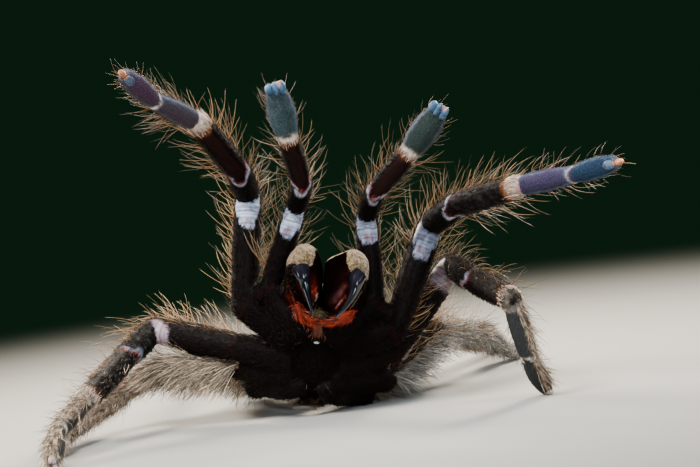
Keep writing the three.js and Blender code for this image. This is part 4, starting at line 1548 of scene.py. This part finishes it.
behind = skin_spot.on("abdomen") * (1 - 0.75 * rise(skin_spot.under, 0.1, 0.7)) + skin_spot.on("spinneret")
trunk_hair("bristles_abdomen", 2600, behind, 1.8, 4.4, (22, 62), "rust", "rust_tip")
rim = skin_spot.on("carapace") * (hill(skin_spot.under, 0.0, 0.3) + 0.12 * rise(-skin_spot.under, 0.2, 0.5))
trunk_hair("bristles_carapace", 800, rim, 0.9, 2.0, (15, 50), "gold_root", "gold_tip")


# %% [markdown]
# ## Cuffs above the feet
# A cuff of cream hair lies over the last joint above each foot. A pale ring in the skin would do
# from afar, but it would end like a painted line. Short lying hairs let it fade into the black.

# %% Cuffs above the feet
cuff_limbs = skin_spot.of("leg_1") + 0.25 * skin_spot.of("palp") + 0.5 * skin_spot.of("leg_2", "leg_3")
cuff = skin_spot.on("tibia") * hill(skin_spot.left, 1.0, 0.55) * cuff_limbs
roots, out = scattered(1400, cuff)
shade = between(0.3, 1.2, len(roots))[:, None]
lie = combed(Spot(roots), out, 0.16)
cuff_bounds = ((0.8, 1.5), (0.07, 0.1), (4, 20), (0.0, 0.25))
root_tint = COLOURS["band_warm"] * shade
tip_tint = COLOURS["band"] * shade
hairs("cuff_hair", LONG_HAIR, roots, out, lie, cuff_bounds, root_tint, tip_tint, 3)


# %% [markdown]
# ## Pale fuzz of the rear legs
# The third and fourth legs are pale with fuzz, and long strands hang from their femora like a
# curtain. One kind of hair serves for both: the strands are only longer and pulled down more. A
# soft pattern darkens whole clumps, since hair that is uneven one by one looks like noise.

# %% Pale fuzz of the rear legs
DOWN = np.array([0, 0, -1.0])


def fuzz(name, count, weights, low, high, lifts, hang, rings=3, thick=0.08):
    """Pale hair, from low to high millimetres long and pulled down by hang."""
    roots, out = scattered(count, weights)
    spot = Spot(roots)
    n = len(roots)
    clump = np.clip(0.5 + 0.5 * ripple(roots, 0.8 * mm), 0, 1)
    shade = ((0.18 + 1.2 * draws.random(n) ** 1.7) * (0.5 + 0.8 * clump))[:, None]
    warm = paint(np.tile(COLOURS["fuzz"], (n, 1)), "hair_brown", between(0, 0.6, n))
    # painted shade: leg_3_left's fuzz is painted grey-blue, as it stands in shade
    warm = paint(warm, "fuzz_shade_grey", spot.of("leg_3_left") * 0.5)
    shade = shade * (1 + 0.3 * spot.of("leg_2_right", "leg_3_right"))[:, None]
    lie = combed(spot, out, 0.35) + hang * DOWN
    length = between(low, high, n) * mm
    width = between(0.75, 1.2, n) * thick * mm
    lift = np.radians(between(*lifts, n))
    droop = between(0.1, 0.6, n)
    root_tint = warm * shade * 0.6
    tip_tint = warm * shade * 1.2
    spikes(
        name, LONG_HAIR, roots, out, lie, length, width, lift, droop, root_tint, tip_tint, rings
    )


rear = skin_spot.of("leg_3", "leg_4") * (1 - 0.7 * wrinkles)
curtain = rear * skin_spot.on("femur") * rise(skin_spot.under, -0.5, 0.2)
outer_fuzz = rear * skin_spot.on("patella", "tibia", "metatarsus") + 0.5 * rear * skin_spot.on("tarsus")
second_foot = skin_spot.of("leg_2") * skin_spot.on("metatarsus", "tarsus")
outer_fuzz += 0.6 * (second_foot + 0.08 * skin_spot.of("leg_2_right") * skin_spot.on("tibia")) * (1 - pad)
for side in SIDES:
    fuzz(f"curtain_{side}", 2200, curtain * leg_side[side], 2.2, 5.8, (30, 76), 0.9, rings=5, thick=0.1)
    fuzz(f"fuzz_{side}", 6500, outer_fuzz * leg_side[side], 0.8, 2.6, (18, 62), 0.2)


# %% [markdown]
# ## Velvet and hair of the jaws
# Each jaw ends in a cap of short, dense, pale velvet. Its outer side wears dark lying hair, and
# its upper side browner hair with a few long golden bristles. A sheen on a smooth cap would look
# like cloth, so the velvet is hair that stands nearly upright. Its shade changes in small grains,
# the same ones as in the skin below it.

# %% Velvet and hair of the jaws
def velvet(side, where, cap):
    """Short dense pile on the cap of a jaw."""
    stretch = jaws[side][0]
    roots, out = scattered(4200, cap, where)
    n = len(roots)
    shade = 1.15 * grains(roots, CAP_GRAIN) + 0.15 * ripple(roots, 0.22 * mm)
    shade = np.clip(shade + draws.normal(0, 0.12, n), 0, 1)
    root_tint = mixed_tint("velvet_dark", "velvet", 0.4 * shade) * 0.6
    tip_tint = mixed_tint("velvet_dark", "velvet", 0.05 + 0.95 * shade) * (0.3 + 1.1 * shade[:, None])
    lie = stretch.axis * 0.6 + draws.normal(0, 0.5, (n, 3)) - 0.3 * LEFTWARD * outward_sides[stretch.node]
    bounds = ((0.3, 0.55), (0.1, 0.17), (25, 60), (0.0, 0.3))
    hairs(f"velvet_{side}", VELVET, roots, out, lie, bounds, root_tint, tip_tint)


def jaw_hair(side, where, weights):
    """Dark lying hair on the outer side of a jaw, browner on its upper side."""
    stretch = jaws[side][0]
    roots, out = scattered(3400, weights, where)
    n = len(roots)
    lie = stretch.axis + draws.normal(0, 0.2, (n, 3))
    dark = COLOURS["soft_black"] * between(0.6, 2.2, n)[:, None]
    upper = rise(-jaw_spot(stretch, outward_signs[side], roots)[2], 0.0, 0.5)
    dark = paint(dark, "gold_root", 0.3 * upper * draws.random(n))
    pale_ones = 0.7 * (draws.random(n) < 0.07)
    frost_and_highlight = paint(dark, "hair_brown", np.maximum(pale_ones, 0.75 * upper * draws.random(n)))
    bounds = ((0.5, 0.9), (0.07, 0.1), (8, 24), (0.05, 0.2))
    hairs(f"jaw_hair_{side}", SHORT_HAIR, roots, out, lie, bounds, dark, frost_and_highlight * 1.4)


def jaw_bristles(side, where, weights):
    """A few long golden bristles round the cap and along the top of a jaw."""
    roots, out = scattered(130, weights, where)
    n = len(roots)
    lie = jaws[side][0].axis + draws.normal(0, 0.3, (n, 3))
    shade = between(0.5, 1.0, n)[:, None]
    bounds = ((1.4, 2.8), (0.05, 0.07), (45, 80), (0.0, 0.4))
    root_tint = COLOURS["gold_root"] * shade
    tip_tint = COLOURS["gold_tip"] * shade
    hairs(f"jaw_bristles_{side}", LONG_HAIR, roots, out, lie, bounds, root_tint, tip_tint, 4)


for side in SIDES:
    jaw_piece = jaw_pieces[side]
    jaw_piece.data.calc_loop_triangles()
    where = surface(jaw_piece, vertex_places(jaw_piece.data))
    along, inwards, down = jaw_spot(jaws[side][0], outward_signs[side], where[2])
    cap = cap_cover(jaws[side][0], along, inwards, down, CAP_TURN[side])
    velvet(side, where, cap)
    outer = (1 - cap) * (1 - rise(inwards, -0.2, 0.3)) * rise(along, 0.05, 0.2)
    outer *= 1 - 0.8 * rise(down, 0.2, 0.5) * rise(inwards, -0.95, -0.8)
    jaw_hair(side, where, outer)
    edge = rise(-down, -0.3, 0.4) * rise(along, 0.5, 0.8) * (1 - rise(inwards, 0.1, 0.5))
    edge += 0.5 * rise(-inwards, 0.5, 0.9) * rise(along, 0.4, 0.6)
    edge += rise(-down, 0.4, 0.7) * rise(along, 0.1, 0.3) * (1 - rise(inwards, 0.1, 0.5)) * (1 - cap)
    jaw_bristles(side, where, edge)


# %% [markdown]
# ## The mouth's fringes
# Below the fangs a red-orange fringe lines the mouth on both sides, a tan tuft stands on the lip
# between them, and an olive one in the mouth. The fringes have no skin of their own to grow on.
# So their roots are spread along two curves, from beside each jaw to the lip.

# %% The mouth's fringes
COLOURS["fringe_root"] = linear(64, 10, 5)
COLOURS["fringe"] = linear(224, 64, 14)
# painted highlight: a few pale-tipped hairs in the fringes and on the lip stand for glints
COLOURS["fringe_pale_glint"] = linear(240, 172, 138)
COLOURS["tan"] = linear(156, 92, 66)
COLOURS["olive"] = linear(104, 84, 46)
FRINGE_HAIRS = 720
LIP_HAIRS = 280
MOUTH_HAIRS = 160
lip = body["sternum"].end + 0.5 * mm * VENTRAL
mouth = lip + (3.3 * FORWARD + 0.3 * VENTRAL) * mm

# each fringe runs from beside a jaw to the lip, in millimetres outwards and ahead of the lip
FRINGE = {
    "right": ((3.5, 4.6), (3.3, 2.7), (1.05, 1.5)),
    "left": ((5.1, 4.9), (4.3, 2.55), (1.05, 1.95)),
}


def tuft(name, roots, out, lie, lengths, lifts, root_tint, tip_tint, rings, thick=(0.05, 0.08)):
    """Long hairs of the head, given their roots and lie."""
    bounds = (lengths, thick, lifts, (0.0, 0.35))
    hairs(name, LONG_HAIR, roots, out, lie, bounds, root_tint, tip_tint, rings)


for side, sign in SIDES.items():
    outer, bend, inner = (
        lip + (aside * sign * LEFTWARD + ahead * FORWARD + 0.65 * VENTRAL) * mm
        for aside, ahead in FRINGE[side]
    )
    n = FRINGE_HAIRS // THINNED
    t = 0.2 + 0.8 * draws.random(n)[:, None]
    curve = (1 - t) ** 2 * outer + 2 * t * (1 - t) * bend + t**2 * inner
    run = unit(2 * (1 - t) * (bend - outer) + 2 * t * (inner - bend))
    roots = curve - 0.7 * mm * run + draws.normal(0, 0.32, (n, 3)) * mm * (1.2 - 0.5 * t)
    out = unit(VENTRAL + 0.2 * FORWARD + draws.normal(0, 0.25, (n, 3)))
    lie = run + draws.normal(0, 0.2, (n, 3)) + 0.3 * FORWARD
    lock = np.clip(0.5 + 0.6 * ripple(roots, 0.35 * mm), 0, 1)
    root_tint = mixed_tint("fringe_root", "fringe", 0.5 * lock)
    tip_tint = mixed_tint("fringe_root", "fringe", 0.12 + 0.88 * lock)
    tip_tint = paint(tip_tint, "fringe_pale_glint", 0.9 * (draws.random(n) < 0.1))
    shade = 0.1 + 1.6 * draws.random(n)[:, None] ** 1.8
    root_tint = root_tint * shade
    tip_tint = tip_tint * shade
    tuft(f"mouth_fringe_{side}", roots, out, lie, (1.0, 2.1), (4, 30), root_tint, tip_tint, 4)

n = LIP_HAIRS // THINNED
down_the_lip = draws.random(n)[:, None]
aside = draws.normal(0, 1, (n, 1)) * (0.35 + 0.3 * down_the_lip)
roots = lip + (aside * LEFTWARD + (1.7 - 2.1 * down_the_lip) * FORWARD + 0.25 * VENTRAL) * mm
out = unit(VENTRAL + draws.normal(0, 0.2, (n, 3)))
lie = -FORWARD + (0.5 * aside + draws.normal(0, 0.2, (n, 1))) * LEFTWARD
shade = between(0.3, 1.0, n)[:, None]
tip_tint = paint(COLOURS["tan"] * shade * 1.2, "fringe_pale_glint", 0.7 * (draws.random(n) < 0.12))
tuft("lip_tuft", roots, out, lie, (0.7, 1.5), (8, 34), COLOURS["tan"] * shade * 0.25, tip_tint, 3)

n = MOUTH_HAIRS // THINNED
roots = mouth + draws.normal(0, 0.3, (n, 3)) * mm
out = unit(VENTRAL + draws.normal(0, 0.3, (n, 3)))
shade = between(0.3, 1.0, n)[:, None]
lie = draws.normal(0, 1, (n, 3)) + 0.4 * FORWARD
olive = COLOURS["olive"] * shade
tuft("mouth_tuft", roots, out, lie, (0.5, 1.0), (20, 60), olive * 0.4, olive, 3, thick=(0.07, 0.1))


# %% [markdown]
# ## Wet beads of the mouth
# A drop shines in the open mouth, and a smooth knob sits on the lip. Both could be hair with
# a high gloss, but only a smooth round shape gives the small bright spot of something wet. So
# they are two drawn-out balls with a clear coat, painted pale blue-grey as a painted highlight:
# the knob fully, the drop half as much.

# %% Wet beads of the mouth
def nearest_of(places, middles):
    """The number of the nearest of a few middles, for every place."""
    return np.linalg.norm(places[:, None] - np.array(middles)[None], axis=2).argmin(1)


# painted highlight: the pale blue-grey of the knob and the drop
COLOURS["bead"] = linear(160, 166, 170)
drop_place = mouth + 0.35 * mm * VENTRAL
knob_place = lip - 1.9 * mm * FORWARD + 0.45 * mm * VENTRAL
bm = bmesh.new()
for place, sizes in ((drop_place, (0.2, 0.2, 0.2)), (knob_place, (0.46, 0.22, 0.3))):
    oval(bm, place, np.array((LEFTWARD, FORWARD, VENTRAL)) * np.array(sizes)[:, None] * mm, 24, 16)
beads = object_from(bm, "mouth_beads")
places = vertex_places(beads.data)
paleness = np.array([0.5, 1.0])[nearest_of(places, [drop_place, knob_place])]
keep(beads.data, "tint", mixed_tint("black", "bead", paleness))
look = Look("wet_bead", Roughness=0.12, Specular_IOR_Level=0.35, Coat_Weight=0.6, Coat_Roughness=0.08)
grain = look.grain(look.place(), 2500, 1.0)
look.feed("Base Color", look.scaled(look.colour("tint"), 0.7 + 0.6 * grain))
beads.data.materials.append(look.material)
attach(beads, "root")


# %% [markdown]
# ## Claw pads
# A tarantula's foot ends in soft split pads with a pair of claws hidden between them. Sculpted
# toes would be more exact, but a few overlapping drawn-out balls already read as lobes from any
# side. Each limb's set is placed in half widths of its foot, so that the pads fit every foot.

# %% Claw pads
COLOURS["pad_grey"] = linear(76, 88, 104)
COLOURS["pad_blue"] = linear(62, 92, 118)
COLOURS["pad_pink"] = linear(150, 112, 108)
COLOURS["pad_orange"] = linear(206, 128, 86)
COLOURS["pad_pale"] = linear(204, 172, 158)
LOBE_SET_BACK = 0.3 * mm
LOWEST_PAD = 0.03 * mm

# lobes: across and below in half widths, ahead in millimetres, their three half sizes, a colour
PALP_LOBES = (
    (-0.52, 0.4, 0.05, (0.42, 0.5, 0.5), "pad_blue"),
    (-0.05, 0.55, 0.1, (0.3, 0.4, 0.62), "pad_blue"),
    (0.28, 0.35, 0.3, (0.24, 0.36, 0.42), "pad_pink"),
    (0.56, 0.45, 0.0, (0.34, 0.44, 0.66), "pad_blue"),
)
LEG_LOBES = (
    (0.0, 0.62, -1.5, (0.55, 0.36, 0.8), "pad_grey"),
    (0.05, 0.42, 0.1, (0.36, 0.36, 0.6), "pad_orange"),
)
STANDING_LOBES = (
    (-0.5, 0.2, -0.2, (0.26, 0.3, 0.6), "pad_pale"),
    (0.5, 0.2, -0.2, (0.26, 0.3, 0.6), "pad_pale"),
    (0.0, 0.3, -0.5, (0.5, 0.4, 0.5), "pad_grey"),
)


def lobes_of(limb_name):
    """The lobes at the end of a limb."""
    if limb_name.startswith("palp"):
        return PALP_LOBES
    if limb_name.startswith("leg_1"):
        return LEG_LOBES
    return STANDING_LOBES


bm = bmesh.new()
lobe_places = []
lobe_tints = []
for name, limb in limbs.items():
    tip = limb[-1]
    width = tip.halves[-1].mean()
    for across, below, ahead, sizes, colour in lobes_of(name):
        place = tip.end + (ahead * mm - LOBE_SET_BACK) * tip.axis
        place = place + width * (across * tip.across + below * tip.belly)
        axes = np.array((tip.across, tip.belly, tip.axis)) * np.array(sizes)[:, None] * width
        oval(bm, place, axes, 20, 14)
        lobe_places.append(place)
        lobe_tints.append(COLOURS[colour])
pads = object_from(bm, "claw_pads")
places = vertex_places(pads.data)
edges = rise(ripple(places, 0.7 * mm), -0.6, 0.9)[:, None]
keep(pads.data, "tint", np.array(lobe_tints)[nearest_of(places, lobe_places)] * (0.5 + 0.6 * edges))
places[:, 2] = np.maximum(places[:, 2], LOWEST_PAD)
pads.data.vertices.foreach_set("co", places.astype(np.float32).ravel())
pads.data.update()
look = Look("claw_pad", Specular_IOR_Level=0.2)
grain = look.grain(look.place(), 5000, 2.0)
look.feed("Base Color", look.scaled(look.colour("tint"), 0.6 + 0.8 * grain))
look.feed("Roughness", 0.4 + 0.3 * grain)
look.feed("Normal", look.bumped(grain, 0.1 * mm))
pads.data.materials.append(look.material)
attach(pads, "root")


# %% [markdown]
# ## The stand
# The animal stands on a plain pale floor, before an even dark green-grey. A curved backdrop could
# join the two, but from other sides it would stand in the way. So the floor itself fades from
# pale to the colour of the surroundings, by distance from the animal.

# %% Floor and surroundings
bm = bmesh.new()
bmesh.ops.create_grid(bm, x_segments=1, y_segments=1, size=4)
floor = object_from(bm, "floor")
SURROUNDINGS = (0.004, 0.0145, 0.0066, 1)
PALE_FLOOR = (0.3, 0.28, 0.25, 1)
UNLIT = (0, 0, 0, 1)
PALE_WITHIN = 0.03
DARK_BEYOND = 0.27
floor_look = Look("floor", Roughness=0.8, Specular_IOR_Level=0.0, Emission_Strength=1.0)
away = floor_look.node("ShaderNodeVectorMath", {"operation": "LENGTH"}, {0: floor_look.place()}, out=1)
nearness = 1 - away.smooth(PALE_WITHIN, DARK_BEYOND)
fade = 1 - nearness * nearness


def faded(near, far):
    """A colour that goes from near to far with the distance from the middle."""
    return floor_look.node("ShaderNodeMix", {"data_type": "RGBA"}, {0: fade, 6: near, 7: far}, out=2)


floor_look.feed("Base Color", faded(PALE_FLOOR, UNLIT))
floor_look.feed("Emission Color", faded(UNLIT, SURROUNDINGS))
floor.data.materials.append(floor_look.material)

world = bpy.data.worlds.new("surroundings")
bpy.context.scene.world = world
world.use_nodes = True
world.node_tree.nodes["Background"].inputs["Color"].default_value = SURROUNDINGS


# %% [markdown]
# ## The light
# A black, hairy animal shows its shape mostly by highlights and by light in its outline. One big
# lamp would leave it flat. So a warm key lamp stands at one side, narrow cool strips draw the
# highlights on jaws and fangs, and two warm lamps behind light up the bristles.

# %% Lamps
COOL = (0.72, 0.87, 1)
COOLISH = (0.8, 0.9, 1)
WARM_RIM = (1, 0.93, 0.82)


def lamp(name, place, aim, size, power, colour, height=None):
    """A lamp with a rectangular face that is turned towards a place."""
    made = bpy.data.objects.new(name, bpy.data.lights.new(name, "AREA"))
    made.data.shape = "RECTANGLE"
    made.data.size = size
    made.data.size_y = height or size
    made.data.energy = power
    made.data.color = colour
    made.location = place
    made.rotation_euler = (Vector(aim) - Vector(place)).to_track_quat("-Z", "Y").to_euler()
    bpy.context.scene.collection.objects.link(made)


CENTRE = (0, 0, 0.03)
lamp("key", (-0.2, -0.22, 0.34), CENTRE, 0.12, 3.8, (1, 0.98, 0.95))
lamp("fill", (0.28, -0.22, 0.16), CENTRE, 0.2, 0.5, COOLISH)
lamp("strip", (0.09, -0.325, 0.235), (0, 0, 0.1), 0.1, 2.4, COOL, 0.45)
lamp("strip_left", (-0.29, -0.17, 0.19), (0, 0, 0.06), 0.05, 0.9, COOLISH, 0.36)
lamp("strip_top", (0.07, -0.15, 0.47), CENTRE, 0.1, 1.2, COOL, 0.22)
lamp("rim_right", (-0.22, 0.22, 0.24), CENTRE, 0.12, 5.0, WARM_RIM)
lamp("rim_left", (0.22, 0.22, 0.24), CENTRE, 0.12, 5.0, WARM_RIM)
